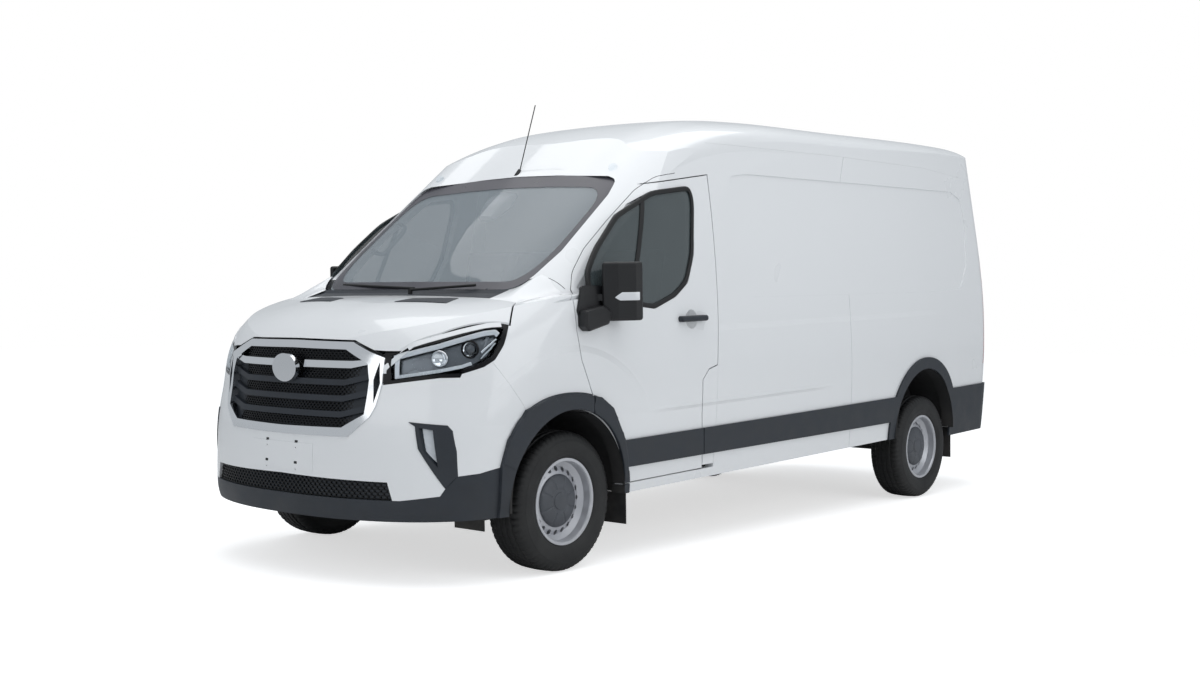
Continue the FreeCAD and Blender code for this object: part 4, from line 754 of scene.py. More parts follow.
def cap_grid(turns=160, lines=8):
    """A wheel cap over (angle, ring): a raised middle, a ring groove and radial lines."""
    step = np.arange(turns)
    angle = step * 2 * math.pi / turns
    line = np.abs(step % (turns // lines) - turns // lines // 2)[:, None] < 1.5
    face = ((CAP_RINGS > 0.061) & (CAP_RINGS < 0.127) & (CAP_HEIGHTS > 0.059))[None, :]
    height = CAP_HEIGHTS[None, :] - 0.0030 * (line & face)
    return np.stack([height, CAP_RINGS[None, :] * np.cos(angle)[:, None],
                     CAP_RINGS[None, :] * np.sin(angle)[:, None]], axis=2)


for corner, centre, outward in wheel_places():
    grid_piece("wheel_cap_" + corner, cap_grid() * outward + centre, cap_grey,
               "wheel_" + corner, "wheel_silver", wrap_rows=True)

# %% [markdown]
# Each door window sits in a thick black rubber, and an upright bar divides its
# fixed front pane from the one that winds down. A bevelled curve would follow
# the edge, but not the bulge of the glass, so the line is dropped onto the pane
# first and a rounded section is then carried along it.

# %% Window rubbers and bars
WINDOW = [(-1.458, 1.787), (-1.658, 1.624), (-1.785, 1.490), (-1.800, 1.400), (-1.716, 1.345),
          (-1.270, 1.289), (-1.077, 1.348), (-0.956, 1.421), (-0.874, 1.573), (-0.808, 1.878),
          (-0.825, 1.955), (-1.155, 1.918)]
RUBBER = [(-0.014, -0.003), (-0.014, 0.008), (-0.010, 0.0105), (0.006, 0.0105), (0.012, 0.006),
          (0.014, -0.003)]
OUT_LEFT = 1.5

pane_skin = skin_of("door_glass_left")
edge = inset(eased(WINDOW, 0.016, 8), 0.010)
path, ups = laid(np.column_stack([np.full(len(edge), OUT_LEFT), edge]), pane_skin, "side")
both_sides("window_rubber", strip(path, ups, RUBBER, closed=True), black_rubber, DOORS,
           "dark_plastic", **LOOP)
bar = np.linspace((OUT_LEFT, -1.237, 1.880), (OUT_LEFT, -1.466, 1.318), 16)
path, ups = laid(bar, pane_skin, "side")
both_sides("window_bar", strip(path, ups, flat_bar(0.0145, -0.002, 0.007)), black_rubber, DOORS,
           "dark_plastic", **RUN)

# %% [markdown]
# The windscreen has a dark band printed round its edge, which hides the glue
# behind it. It could be a mask in the glass material, but as a thin ring of its
# own it keeps a clean edge. The ring runs between two outlines, and its rows
# are blends of the two.

# %% Printed border of the screen
SCREEN = [(0, 1.407), (0.700, 1.405), (0.765, 1.465), (0.792, 1.600), (0.780, 1.900),
          (0.755, 1.985), (0.690, 2.006), (0.300, 2.030), (0, 2.036)]
CLEAR = [(0, 1.447), (0.665, 1.445), (0.722, 1.500), (0.748, 1.610), (0.738, 1.860),
         (0.705, 1.915), (0.640, 1.945), (0.300, 1.962), (0, 1.966)]
BORDER_STEPS = 240
SCREEN_AHEAD = -3.2


def resampled(outline, count):
    """A closed outline read at even shares of its point count."""
    at = np.linspace(0, len(outline), count, endpoint=False)
    return np.stack([np.interp(at, np.arange(len(outline) + 1),
                               np.append(outline[:, k], outline[0, k])) for k in (0, 1)], axis=1)


outer = resampled(inset(eased(mirrored_outline(SCREEN), 0.02, 6), 0.001), BORDER_STEPS)
inner = resampled(eased(mirrored_outline(CLEAR), 0.02, 6), BORDER_STEPS)
share = np.array([0.0, 0.0, 0.33, 0.66, 1.0, 1.0])[None, :, None]
lift = np.array([0.0003, 0.0016, 0.0016, 0.0016, 0.0016, 0.0003])[None, :, None]
flat = outer[:, None] * (1 - share) + inner[:, None] * share
border, normals = laid(upright(flat[..., 0], flat[..., 1], SCREEN_AHEAD), skin_of("windscreen"),
                       "front")
grid_piece("screen_border", border + lift * normals, screen_print, "van", "dark_plastic", **LOOP)

# %% [markdown]
# Behind the screen hang a sensor housing at the top and a grab handle on each
# pillar; the photograph shows both through the glass. The housing is a rounded
# box that narrows towards its end: each row is a superellipse, a circle whose
# sine and cosine are raised to a power below 1, which squares it off.

# %% Sensor housing
rows = np.linspace(0, 1, 14)
turn = np.linspace(0, 2 * math.pi, 28, endpoint=False)
square_x = np.sign(np.cos(turn)) * np.abs(np.cos(turn)) ** 0.5
square_z = np.sign(np.sin(turn)) * np.abs(np.sin(turn)) ** 0.5
half_wide = (0.085 - 0.035 * rows ** 1.6)[:, None]
thick = (0.020 + 0.022 * np.sin(math.pi * np.clip(rows * 1.05, 0, 1)))[:, None]
pod = np.stack([-0.06 + half_wide * square_x[None, :],
                (-1.250 - 0.175 * rows)[:, None] + 0.62 * thick * square_z[None, :],
                (1.930 - 0.135 * rows)[:, None] - 0.78 * thick * square_z[None, :]], axis=2)
grid_piece("mirror_pod", tipped(pod), pod_grey, "van", "cab_plastic", **RUN)

# %% [markdown]
# The grab handles are bent rails. A tube is a circle carried along a line, and
# the line's corners are eased first, as a bender would do it.

# %% Grab handles
GRAB = [(0.840, -1.590, 1.625), (0.770, -1.565, 1.600), (0.765, -1.540, 1.622),
        (0.765, -1.400, 1.742), (0.770, -1.380, 1.768), (0.840, -1.375, 1.790)]


def tube(points, radius, sides=14):
    """A round rail along a path of points: place + radius * (cos * side + sin * up)."""
    points = np.asarray(points, dtype=float)
    along = np.gradient(points, axis=0)
    along /= np.linalg.norm(along, axis=1)[:, None]
    side = np.cross(along, [0.3, 0.2, 0.93])
    side /= np.linalg.norm(side, axis=1)[:, None]
    up = np.cross(side, along)
    turn = np.linspace(0, 2 * math.pi, sides, endpoint=False)
    return (points[:, None] + radius * np.cos(turn)[None, :, None] * side[:, None]
            + radius * np.sin(turn)[None, :, None] * up[:, None])


both_sides("grab_handle", tube(tipped(eased(GRAB, 0.012, 4, closed=False)), 0.013), cab_plastic,
           VAN, "cab_plastic", **RUN)

# %% [markdown]
# The grille and the air intake are backed by honeycomb. One frame could be
# copied by an Array modifier, but the comb has to end at a slanting outline and
# follow the bulge of the nose. So all the cell centres are laid out at once,
# those inside the outline are kept, and the depth comes from a polynomial
# fitted to the bars in front of it.

# %% Honeycomb
GRILLE_INNER = [(0, 1.143), (0.364, 1.139), (0.503, 1.075), (0.521, 1.000), (0.515, 0.840),
                (0.400, 0.775), (0, 0.770)]
INTAKE = [(0, 0.536), (0.636, 0.526), (0.660, 0.440), (0, 0.440)]
AHEAD = -3.3
CELL_RINGS = ((1.0, 0.0), (0.80, 0.0), (0.80, 1.0))


def depth_fit(tree, xs, zs):
    """Depth of a skin, as a polynomial in x squared and in z, by least squares over rays."""
    x, z = (a.ravel() for a in np.meshgrid(xs, zs, indexing="ij"))
    spots, _ = laid(upright(x, z, AHEAD), tree, "front")
    y = (turned(spots - PIVOT, -TILT) + PIVOT)[:, 1]
    terms = np.column_stack([np.ones(len(x)), x ** 2, x ** 4, z, z ** 2])
    factors = np.linalg.lstsq(terms, y, rcond=None)[0]
    return lambda a, b: (factors[0] + factors[1] * a ** 2 + factors[2] * a ** 4
                         + factors[3] * b + factors[4] * b ** 2)


def honeycomb(name, outline, depth_at, behind, width, height, deep):
    """Hexagon frames over (cell, corner): an outer and an inner ring, and the inner wall."""
    shape = mirrored_outline(outline)
    low, high = shape.min(axis=0), shape.max(axis=0)
    column = np.arange(low[0], high[0], width)
    row = np.arange(low[1], high[1], height * 0.75)
    x, z = np.meshgrid(column, row, indexing="ij")
    x = x + (np.arange(len(row)) % 2)[None, :] * width / 2
    x, z = x.ravel(), z.ravel()
    keep = inside(shape, x, z)
    x, z = x[keep], z[keep]
    corner = np.radians(np.arange(6) * 60 + 30)
    layers = []
    for size, back in CELL_RINGS:
        px = x[:, None] + np.cos(corner)[None, :] * width / math.sqrt(3) * size
        pz = z[:, None] + np.sin(corner)[None, :] * height / 2 * size
        layers.append(np.stack([px, depth_at(px, pz) + behind + back * deep, pz], axis=2))
    base = np.arange(len(x))[:, None, None] * 18
    ring = np.arange(6)[None, None, :]
    after = (ring + 1) % 6
    layer = np.arange(2)[None, :, None] * 6
    quads = np.stack([base + layer + ring, base + layer + after, base + layer + 6 + after,
                      base + layer + 6 + ring], axis=3)
    add_piece(name, tipped(np.stack(layers, axis=1)).reshape(-1, 3),
              quads.reshape(-1, 4).tolist(), mesh_black, "van", sharp=20)


bars = skin_of("grille")
honeycomb("grille_comb", GRILLE_INNER, depth_fit(bars, np.linspace(0, 0.46, 12),
                                                 (0.833, 0.907, 0.983)),
          0.014, 0.0240, 0.0150, 0.007)
honeycomb("intake_comb", INTAKE, depth_fit(bars, np.linspace(0, 0.60, 12),
                                           (0.455, 0.485, 0.515)),
          -0.007, 0.0300, 0.0190, 0.006)

# %% [markdown]
# A headlamp is a shallow tray behind its clear cover. Everything in it follows
# the cover, which sweeps round the corner of the nose, so the lamp gets its own
# coordinates: u from the inner end to the outer, v from low to high, and a
# distance behind the cover. The tray is then a simple function of u and v, flat
# in the middle, turned up at the edge, and folded towards the outer end.

# %% Headlamp tray
LAMP_LOW = [(0.623, 0.999), (0.720, 1.013), (0.817, 1.028), (0.886, 1.045), (0.929, 1.068),
            (0.952, 1.102), (0.957, 1.140)]
LAMP_TOP = [(0.608, 1.112), (0.700, 1.143), (0.782, 1.171), (0.850, 1.203), (0.907, 1.229),
            (0.932, 1.229), (0.948, 1.205)]
INTO_LAMP = turned((-0.62, 0.77, -0.12))
cover_skin = skin_of("headlamps")


def lamp_place(u, v, behind):
    """Places in the lamp: a point of the cover found by a ray, then pushed in by behind."""
    u, v, behind = np.broadcast_arrays(u, v, behind)
    run = np.linspace(0, 1, len(LAMP_LOW))
    low = np.stack([np.interp(u, run, [p[k] for p in LAMP_LOW]) for k in (0, 1)], axis=-1)
    top = np.stack([np.interp(u, run, [p[k] for p in LAMP_TOP]) for k in (0, 1)], axis=-1)
    flat = low * (1 - v[..., None]) + top * v[..., None]
    spot, _ = laid(upright(flat[..., 0], flat[..., 1], AHEAD), cover_skin, "front")
    return spot + behind[..., None] * INTO_LAMP


u, v = spaced(0.012, 0.988, 64), spaced(0.03, 0.97, 26, row=True)
to_edge = np.minimum(np.minimum(u, 1 - u) * 0.34, np.minimum(v, 1 - v) * 0.15)
wall = np.clip(to_edge / 0.010, 0, 1)
folds = 0.0022 * np.sin(u * 60) * (v > 0.3) * (u > 0.62)
both_sides("lamp_tray", lamp_place(u, v, 0.007 + 0.026 * wall + folds * wall), tray_grey, VAN,
           "chrome_trim")

# %% [markdown]
# Two round reflectors sit in the tray, each with a ring round it, and the outer
# one has a projector lens. A reflector is a dish whose depth falls with the
# square of the distance from its axis, as a real one does to gather its light.

# %% Headlamp reflectors
LAMP_AXIS = turned((0.50, -0.86, 0.03))
LAMP_SIDE = np.cross(LAMP_AXIS, [0, 0, 1.0])
LAMP_SIDE /= np.linalg.norm(LAMP_SIDE)
LAMP_UP = np.cross(LAMP_SIDE, LAMP_AXIS)
DISH_DEPTH = 0.016
INNER_DISH, OUTER_DISH = (lamp_place(u, v, DISH_DEPTH) for u, v in ((0.34, 0.48), (0.58, 0.52)))
RINGS = np.linspace(0, 1, 12)[:, None, None]


def about_axis(sides):
    """Unit vectors round the lamp's axis: cos * side + sin * up."""
    turn = np.linspace(0, 2 * math.pi, sides, endpoint=False)[:, None]
    return np.cos(turn) * LAMP_SIDE + np.sin(turn) * LAMP_UP


for label, centre, radius, ring_finish in (("inner", INNER_DISH, 0.033, lamp_silver),
                                           ("outer", OUTER_DISH, 0.036, gloss_black)):
    dish = centre + radius * RINGS * about_axis(40) + DISH_DEPTH * (RINGS ** 2 - 1) * LAMP_AXIS
    both_sides("lamp_dish_" + label, dish, lamp_silver, VAN, "chrome_trim", wrap_columns=True)
    rim = centre + (radius + 0.002) * about_axis(48)
    ring = strip(rim, np.broadcast_to(LAMP_AXIS, rim.shape), flat_bar(0.0045, -0.010, 0.004),
                 closed=True)
    both_sides("lamp_ring_" + label, ring, ring_finish, VAN, "chrome_trim", **LOOP)
lens = (OUTER_DISH + 0.024 * np.sin(RINGS * math.pi / 2) * about_axis(40)
        + (0.012 * np.cos(RINGS * math.pi / 2) - 0.006) * LAMP_AXIS)
both_sides("projector_lens", lens, projector_glass, VAN, "lamp_clear", wrap_columns=True)

# %% [markdown]
# A clear light strip frames the lamp: smooth along the top and the inner end,
# knurled along the bottom, where short steps in depth break up its shine. Two
# bright blades cross the outer end, and a white brow closes the lamp towards
# the bonnet. All are bars with chamfered edges, carried along lines in the lamp.

# %% Headlamp strips and blades
FRONTWARDS, INWARD_FACING, OUTWARD_FACING = (turned(v) for v in (
    (0.62, -0.77, 0.1), (0.55, -0.82, 0.1), (0.74, -0.60, 0.2)))
BROW = [(0.612, AHEAD, 1.130), (0.700, AHEAD, 1.168), (0.770, AHEAD, 1.194),
        (0.850, AHEAD, 1.226), (0.905, AHEAD, 1.247), (0.935, AHEAD, 1.247)]


def lamp_bar(name, path, facing, section, finish, slot):
    """A bar along a line in the lamp, on both sides of the van."""
    both_sides(name, strip(path, np.broadcast_to(facing, path.shape), section), finish, VAN, slot,
               **RUN)


lamp_bar("light_strip_top", lamp_place(np.linspace(0.02, 0.97, 60), 0.88, 0.0095), FRONTWARDS,
         flat_bar(0.0125, -0.006, 0.003), clear_strip, "lamp_clear")
brow, ups = laid(eased(BROW, 0.012, 3, closed=False), skin_of("lamp_housings"), "front")
lamp_bar("lamp_brow", brow, ups, flat_bar(0.0125, -0.002, 0.003, 0.001), white_paint,
         "body_white")
knurl = 0.0011 * np.sign(np.sin(np.arange(140) * math.pi / 2 + 0.5))
lamp_bar("light_strip_low", lamp_place(np.linspace(0.03, 0.60, 140), 0.09, 0.0105 - knurl),
         FRONTWARDS, flat_bar(0.0080, -0.006, 0.002, 0.001), clear_strip, "lamp_clear")
lamp_bar("light_bar_inner", lamp_place(0.045, np.linspace(0.05, 0.90, 24), 0.0100),
         INWARD_FACING, flat_bar(0.0110, -0.006, 0.003), clear_strip, "lamp_clear")
run = np.linspace(0, 1, 24)
for name, low, high in (("lamp_blade_1", 0.30, 0.62), ("lamp_blade_2", 0.12, 0.40)):
    lamp_bar(name, lamp_place(0.70 + 0.26 * run, low + (high - low) * run, 0.010),
             OUTWARD_FACING, flat_bar(0.0045, -0.010, 0.003), chrome, "chrome_trim")

# %% [markdown]
# Behind the lens of each fog lamp is a pale ribbed plate. Its four corners span
# a patch, the patch is dropped onto the lens, and the ribs push it back by the
# size of a sine.

# %% Fog lamps
FOG_CORNERS = ((0.771, 0.778), (0.821, 0.767), (0.790, 0.674), (0.844, 0.600))

u, v = spaced(0, 1, 30), spaced(0, 1, 14, row=True)
flat = four_corners(FOG_CORNERS, u, v)
spots, normals = laid(upright(flat[..., 0], flat[..., 1], AHEAD), skin_of("fog_lamps"), "front")
ribs = 0.006 + 0.0012 * np.abs(np.sin(u * 16 + v * 3)) + 0.002 * np.cos(v * math.pi) ** 2
both_sides("fog_reflector", spots - ribs[..., None] * normals, clear_strip, VAN, "lamp_clear")

# %% [markdown]
# Two black louvred vents lie on the bonnet, just ahead of the screen. The slats
# are a saw wave, inside a raised frame that fades in over the first few rows.
# The air vents of the dashboard are made the same way.

# %% Bonnet vents
VENT_CORNERS = ((0.241, -2.407), (0.263, -2.300), (0.566, -2.356), (0.530, -2.234))
OVERHEAD = 2.2


def framed(u, v, across, along):
    """How far a place is into a frame's border: 0 at its rim, 1 from the border inwards."""
    return np.clip(np.minimum(np.minimum(u, 1 - u) * across, np.minimum(v, 1 - v) * along), 0, 1)


u, v = spaced(0, 1, 40), spaced(0, 1, 43, row=True)
flat = four_corners(VENT_CORNERS, u, v)
spots, normals = laid(np.stack([flat[..., 0], flat[..., 1], np.full(flat.shape[:2], OVERHEAD)],
                               axis=2), skin_of("bonnet"), "top")
border = framed(u, v, 25, 14)
rise = np.where(border < 1, 0.0035 * np.minimum(border * 3, 1), 0.0008 + 0.0024 * (v * 6 % 1.0))
both_sides("bonnet_vent", spots + rise[..., None] * normals, dark_plastic,
           ("bonnet_lid", "bonnet_lid"), "dark_plastic")

# %% [markdown]
# Each mirror carries a clear signal strip across its lower front and a silvered
# glass on its back. The glass is a square grid with its corners pulled in, so
# it needs no separate rounding.

# %% Mirrors
MIRROR_AHEAD, MIRROR_BEHIND = -2.6, -0.9

mirror_skin = skin_of("mirror_left")
u, v = spaced(0, 1, 22), spaced(0, 1, 9, row=True)
z = (1.3595 - 0.0145 * np.minimum(u * 4, 1)) * (1 - v) \
    + (1.3605 + 0.0255 * np.minimum(u * 3, 1)) * v
spots, normals = laid(upright(1.093 + 0.070 * u, z, MIRROR_AHEAD), mirror_skin, "front")
rim = np.clip(np.minimum(np.minimum(u, 1.02 - u) * 12, np.minimum(v, 1 - v) * 6), 0, 1)
both_sides("signal_strip", spots + (0.0003 + 0.0022 * rim)[..., None] * normals, clear_strip,
           DOORS, "lamp_clear")

u, v = spaced(-1, 1, 24), spaced(-1, 1, 32, row=True)
x = 1.104 + 0.050 * u * np.sqrt(1 - 0.18 * v ** 4)
z = 1.398 + 0.118 * v * np.sqrt(1 - 0.10 * u ** 4)
spots, normals = laid(upright(x, z, MIRROR_BEHIND), mirror_skin, "back")
rim = np.clip((1 - np.maximum(np.abs(u), np.abs(v))) * 14, 0, 1)
both_sides("mirror_glass", spots + (0.0003 + 0.0015 * rim)[..., None] * normals, mirror_silver,
           DOORS, "chrome_trim")

# %% [markdown]
# A wheel arch is dark inside because a folded lip hides the painted edge of
# the panel. It is cut at the door, whose lower corner is part of the arch, so
# each length rides on its own body. A foot carries the sill's length straight
# down below the arch's centre.

# %% Arch lips
FRONT_CENTRE, REAR_CENTRE = (-1.964, ARCH_CENTRE_Z), (1.7753, 0.3705)


def arch_lip(centre, radius, start, stop, inner, foot, count=60):
    """A folded lip over (angle, profile), in under the panel's edge and a short way up its face;
    foot carries it straight down below the arch's centre."""
    angle = np.radians(np.linspace(start, stop, count))
    drop = np.zeros(count)
    if foot:
        angle = np.concatenate([[0.0, 0.0], angle])
        drop = np.concatenate([[foot, foot / 2], drop])
    angle, drop = angle[:, None], drop[:, None]
    x = np.array([inner, 1.014, 1.017, 1.017, 1.010, inner])[None, :]
    reach = radius - np.array([0.0, 0.0, 0.004, 0.004, -0.003, -0.003])[None, :]
    return np.stack([x + 0.0 * angle, centre[0] + reach * np.cos(angle),
                     centre[1] - drop + reach * np.sin(angle)], axis=2)


for name, centre, radius, start, stop, inner, foot, bodies in (
        ("front_lip", FRONT_CENTRE, 0.4285, 69, 184, 0.925, 0, VAN),
        ("door_lip", FRONT_CENTRE, 0.4285, 1.1, 67, 0.930, 0, DOORS),
        ("sill_lip", FRONT_CENTRE, 0.4285, -0.5, 0.3, 0.925, 0.045, VAN),
        ("rear_lip", REAR_CENTRE, 0.4135, -4, 184, 0.925, 0, VAN)):
    both_sides(name, tipped(arch_lip(centre, radius, start, stop, inner, foot)), lining, bodies,
               "dark_plastic", **RUN)

# %% [markdown]
# Seats are sewn fabric over foam. A rounded box would look like a block, so
# each soft solid is copied a little slimmer, remeshed evenly, and blown up as
# cloth for twenty frames without gravity. Its movement is capped, and the seams
# are pressed in afterwards, where they stay sharp. Blender frames are only used
# to let the cloth settle: the finished mesh stands still.

# %% Stuffing a seat
VOXEL, SLIMMER, LONGEST_MOVE, PAST_SOLID = 0.014, 0.008, 0.022, 0.006
CLOTH_PRESSURE, CLOTH_FRAMES = 4.0, 20


def read_vectors(items, label):
    """One vector for each vertex, read from a mesh in one call."""
    values = np.empty(len(items) * 3)
    items.foreach_get(label, values)
    return values.reshape(-1, 3)


def baked(piece):
    """The mesh that a piece's modifiers give, with the modifiers then taken off."""
    mesh = bpy.data.meshes.new_from_object(
        piece.evaluated_get(bpy.context.evaluated_depsgraph_get()))
    piece.modifiers.clear()
    piece.data = mesh
    return mesh


def blown_up(piece, rest):
    """Where the vertices go when the piece is filled with air, from the cloth simulation."""
    cloth = piece.modifiers.new("Cloth", "CLOTH")
    cloth.settings.uniform_pressure_force = CLOTH_PRESSURE
    cloth.settings.use_pressure = True
    cloth.settings.effector_weights.gravity = 0.0
    for frame_number in range(1, CLOTH_FRAMES + 1):
        scene.frame_set(frame_number)
    after = piece.evaluated_get(bpy.context.evaluated_depsgraph_get()).to_mesh()
    swollen = read_vectors(after.vertices, "co")
    piece.modifiers.clear()
    scene.frame_set(1)
    move = swollen - rest
    length = np.linalg.norm(move, axis=1)[:, None]
    return rest + move * np.minimum(1.0, LONGEST_MOVE / np.maximum(length, 1e-9))


def stuffed(name, node, seams, face):
    """Cloth swollen from a soft solid, then creased on its face along lines that seams gives."""
    piece = bpy.data.objects.new(name, nodes[node].data.copy())
    scene.collection.objects.link(piece)
    bpy.context.view_layer.objects.active = piece
    remesh = piece.modifiers.new("Even", "REMESH")
    remesh.mode = "VOXEL"
    remesh.voxel_size = VOXEL
    even = baked(piece)
    rest = (read_vectors(even.vertices, "co")
            - SLIMMER * read_vectors(even.vertex_normals, "vector"))
    even.vertices.foreach_set("co", rest.ravel())
    swollen = blown_up(piece, rest)
    low, high = (np.array(corner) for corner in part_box(node))
    swollen = np.clip(swollen, low - PAST_SOLID, high + PAST_SOLID)
    even.vertices.foreach_set("co", swollen.ravel())
    even.update()
    smooth = piece.modifiers.new("Smooth", "SUBSURF")
    smooth.levels = smooth.render_levels = 1
    fine = baked(piece)
    spots = read_vectors(fine.vertices, "co")
    normals = read_vectors(fine.vertex_normals, "vector")
    crease = seams(spots) * np.clip(normals @ np.array(face), 0, 1)
    fine.vertices.foreach_set("co", (spots - crease[:, None] * normals).ravel())
    fine.polygons.foreach_set("use_smooth", [True] * len(fine.polygons))
    fine.materials.clear()
    fine.materials.append(seat_cloth)
    fine.update()
    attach(piece, "van")
    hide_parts(node)
    print("made", name, "of", len(fine.polygons), "faces, on van")


# %% [markdown]
# The row has three places side by side. On each, two seams run from front to
# back and three across, and one more parts the single seat from the bench. The
# seams could be loops of edges pushed in by hand. As a bell curve in depth,
# narrow and shallow, they need no edges of their own.

# %% Seat pads
SEAT_MIDDLES = (0.470, -0.165, -0.635)
BENCH_LINE = -0.400


def groove(values, middles, width=0.007, depth=0.007):
    """Depth of sewn grooves: depth * exp(-(distance / width)^2), summed over their places."""
    distance = values[:, None] - np.asarray(middles)[None, :]
    return depth * np.exp(-(distance / width) ** 2).sum(axis=1)


def seams_of(half, axis, across):
    """Grooves at half a place's width each side of its middle, and between them at across."""
    lines = [m + s for m in SEAT_MIDDLES for s in (-half, half)] + [BENCH_LINE]

    def depth(spots):
        within = np.abs(spots[:, 0, None] - np.array(SEAT_MIDDLES)).min(axis=1) < half
        return groove(spots[:, 0], lines) + within * groove(spots[:, axis], across)

    return depth


stuffed("seat_pads", "seat_cushions", seams_of(0.155, 1, (-1.22, -1.08, -0.94)),
        (0.0, 0.0, 1.0))
stuffed("seat_back_pads", "seat_backs", seams_of(0.150, 2, (1.24, 1.38, 1.52)),
        (0.0, -1.0, 0.2))

# %% [markdown]
# The rear isn't in the photograph, so it is fitted out as vans of this kind
# are: three hinges on each leaf, a latch handle, a bare plate under its lamp, a
# high stop lamp, and an amber and a clear band in the tail lamps. All of them
# are pads: a rounded outline laid on the skin, its middle raised, and its
# border left touching.

# %% Rear fittings
LEAVES = ("rear_leaf_left", "rear_leaf_right")
BEHIND = 3.4
HINGE_HEIGHTS = (0.68, 1.42, 1.98)


def pad(name, middle, size, tree, view, height, finish, bodies, slot):
    """A softly raised plate over (u, v): a rounded outline laid on a skin and lifted in its
    middle. Two bodies give a mirrored pair, and one body a single piece."""
    u, v = spaced(-1, 1, 18), spaced(-1, 1, 14, row=True)
    across = u * np.sqrt(1 - v ** 6 * 0.25) * size[0] / 2
    up = v * np.sqrt(1 - u ** 6 * 0.25) * size[1] / 2
    spots, normals = laid(upright(middle[0] + across, middle[2] + up, middle[1]), tree, view)
    rim = np.clip((1 - np.maximum(np.abs(u), np.abs(v))) * 5, 0, 1) ** 0.5
    grid = spots + (height * rim - 0.0005)[..., None] * normals
    if isinstance(bodies, str):
        grid_piece(name, grid, finish, bodies, slot)
    else:
        both_sides(name, grid, finish, bodies, slot)


leaf_skin, right_skin = skin_of("rear_door_left"), skin_of("rear_door_right")
lamp_skin = skin_of("tail_lamps")
for k, z in enumerate(HINGE_HEIGHTS, 1):
    pad("rear_hinge_%d" % k, (0.735, BEHIND, z), (0.080, 0.062), leaf_skin, "back", 0.014,
        dark_plastic, LEAVES, "dark_plastic")
for name, middle, size, skin, height, finish, bodies, slot in (
        ("rear_handle", (0.115, BEHIND, 1.03), (0.150, 0.036), leaf_skin, 0.022, dark_plastic,
         LEAVES[0], "dark_plastic"),
        ("plate_blank", (-0.40, BEHIND, 0.90), (0.500, 0.110), right_skin, 0.004, plate_white,
         LEAVES[1], "body_white"),
        ("plate_lamp_hood", (-0.40, BEHIND, 0.985), (0.300, 0.030), right_skin, 0.020,
         dark_plastic, LEAVES[1], "dark_plastic"),
        ("tail_amber", (0.905, BEHIND, 1.33), (0.110, 0.130), lamp_skin, 0.003, amber_lens, VAN,
         "lamp_red"),
        ("tail_clear", (0.905, BEHIND, 1.18), (0.110, 0.130), lamp_skin, 0.003, clear_strip, VAN,
         "lamp_red"),
        ("stop_lamp_high", (0.0, BEHIND, 2.345), (0.300, 0.030), skin_of("roof_panel"), 0.010,
         red_lens, "van", "lamp_red")):
    pad(name, middle, size, skin, "back", height, finish, bodies, slot)

# %% [markdown]
# The dashboard shows through the screen: four air vents, a centre screen, a
# glovebox lid, and a hood over the instruments. The hood is half a barrel that
# sinks towards its ends, a half circle whose height falls with the fourth power
# of the place across.

# %% Dashboard
DASH_AFT = -0.6
VENT_Z, VENT_HIGH = 1.262, 0.055

dash_skin = skin_of("dashboard")
u, v = spaced(0, 1, 20), spaced(0, 1, 31, row=True)
border = framed(u, v, 12, 9)
rise = np.where(border < 1, 0.006 * border, 0.001 + 0.003 * (v * 5 % 1.0))
for label, x, wide in (("left", 0.78, 0.10), ("centre_left", 0.16, 0.12),
                       ("centre_right", -0.02, 0.12), ("right", -0.78, 0.10)):
    sheet = upright(x + (u - 0.5) * wide, VENT_Z + (v - 0.5) * VENT_HIGH, DASH_AFT)
    spots, normals = laid(sheet, dash_skin, "back")
    grid_piece("air_vent_" + label, spots + rise[..., None] * normals, dark_plastic, "van",
               "cab_plastic")
pad("centre_screen", (0.07, DASH_AFT, 1.195), (0.230, 0.062), dash_skin, "back", 0.012,
    gloss_black, "van", "cab_plastic")
pad("glovebox_lid", (-0.45, DASH_AFT, 1.05), (0.420, 0.130), dash_skin, "back", 0.006,
    cab_plastic, "van", "cab_plastic")
u, v = spaced(-1, 1, 30), spaced(0, math.pi, 18, row=True)
hood = np.stack([0.455 + 0.185 * u + 0 * v, -1.815 + 0.085 * np.cos(v) + 0 * u,
                 1.318 + 0.052 * np.sin(v) * (1 - 0.6 * u ** 4)], axis=2)
grid_piece("instrument_hood", tipped(hood), cab_plastic, "van", "cab_plastic", **RUN)

# %% [markdown]
# Where the pillar meets the bonnet, a painted corner closes the body beside the
# screen. It is ruled between two lines: one along the foot of the pillar, and a
# straight one just under the bonnet's edge. Its border is sunk a little, so it
# meets its neighbours without a step.

# %% Body corners
CORNER_TOP = np.array([(0.708, -2.054, 1.408), (0.735, -2.034, 1.416), (0.762, -2.004, 1.434),
                       (0.783, -1.965, 1.462), (0.802, -1.922, 1.486), (0.840, -1.893, 1.461),
                       (0.878, -1.888, 1.416), (0.908, -1.884, 1.388)])
CORNER_FOOT = np.array([(0.700, -2.206, 1.3660), (0.912, -2.204, 1.3445)])

u, v = spaced(0, 1, 30), spaced(0, 1, 18, row=True)
upper = np.stack([np.interp(u[:, 0], np.linspace(0, 1, 8), CORNER_TOP[:, k]) for k in range(3)],
                 axis=1)
lower = CORNER_FOOT[0] * (1 - u) + CORNER_FOOT[1] * u
corner = lower[:, None] * (1 - v[..., None]) + upper[:, None] * v[..., None]
rim = np.minimum(np.minimum(u, 1 - u) * 14, np.minimum(v, 1 - v) * 12)
corner[..., 2] += 0.005 * np.clip(rim, 0, 1) - 0.003
both_sides("cowl_corner", tipped(corner), white_paint, VAN, "body_white", sharp=60)

# %% [markdown]
# The flat panel in the middle of the bumper has four small slots for clips.
# They could be cut through, but nothing shows behind them, so each is a black
# pad that stands half a millimetre off the panel.

# %% Clip slots in the bumper
BUMPER_AHEAD = -3.4

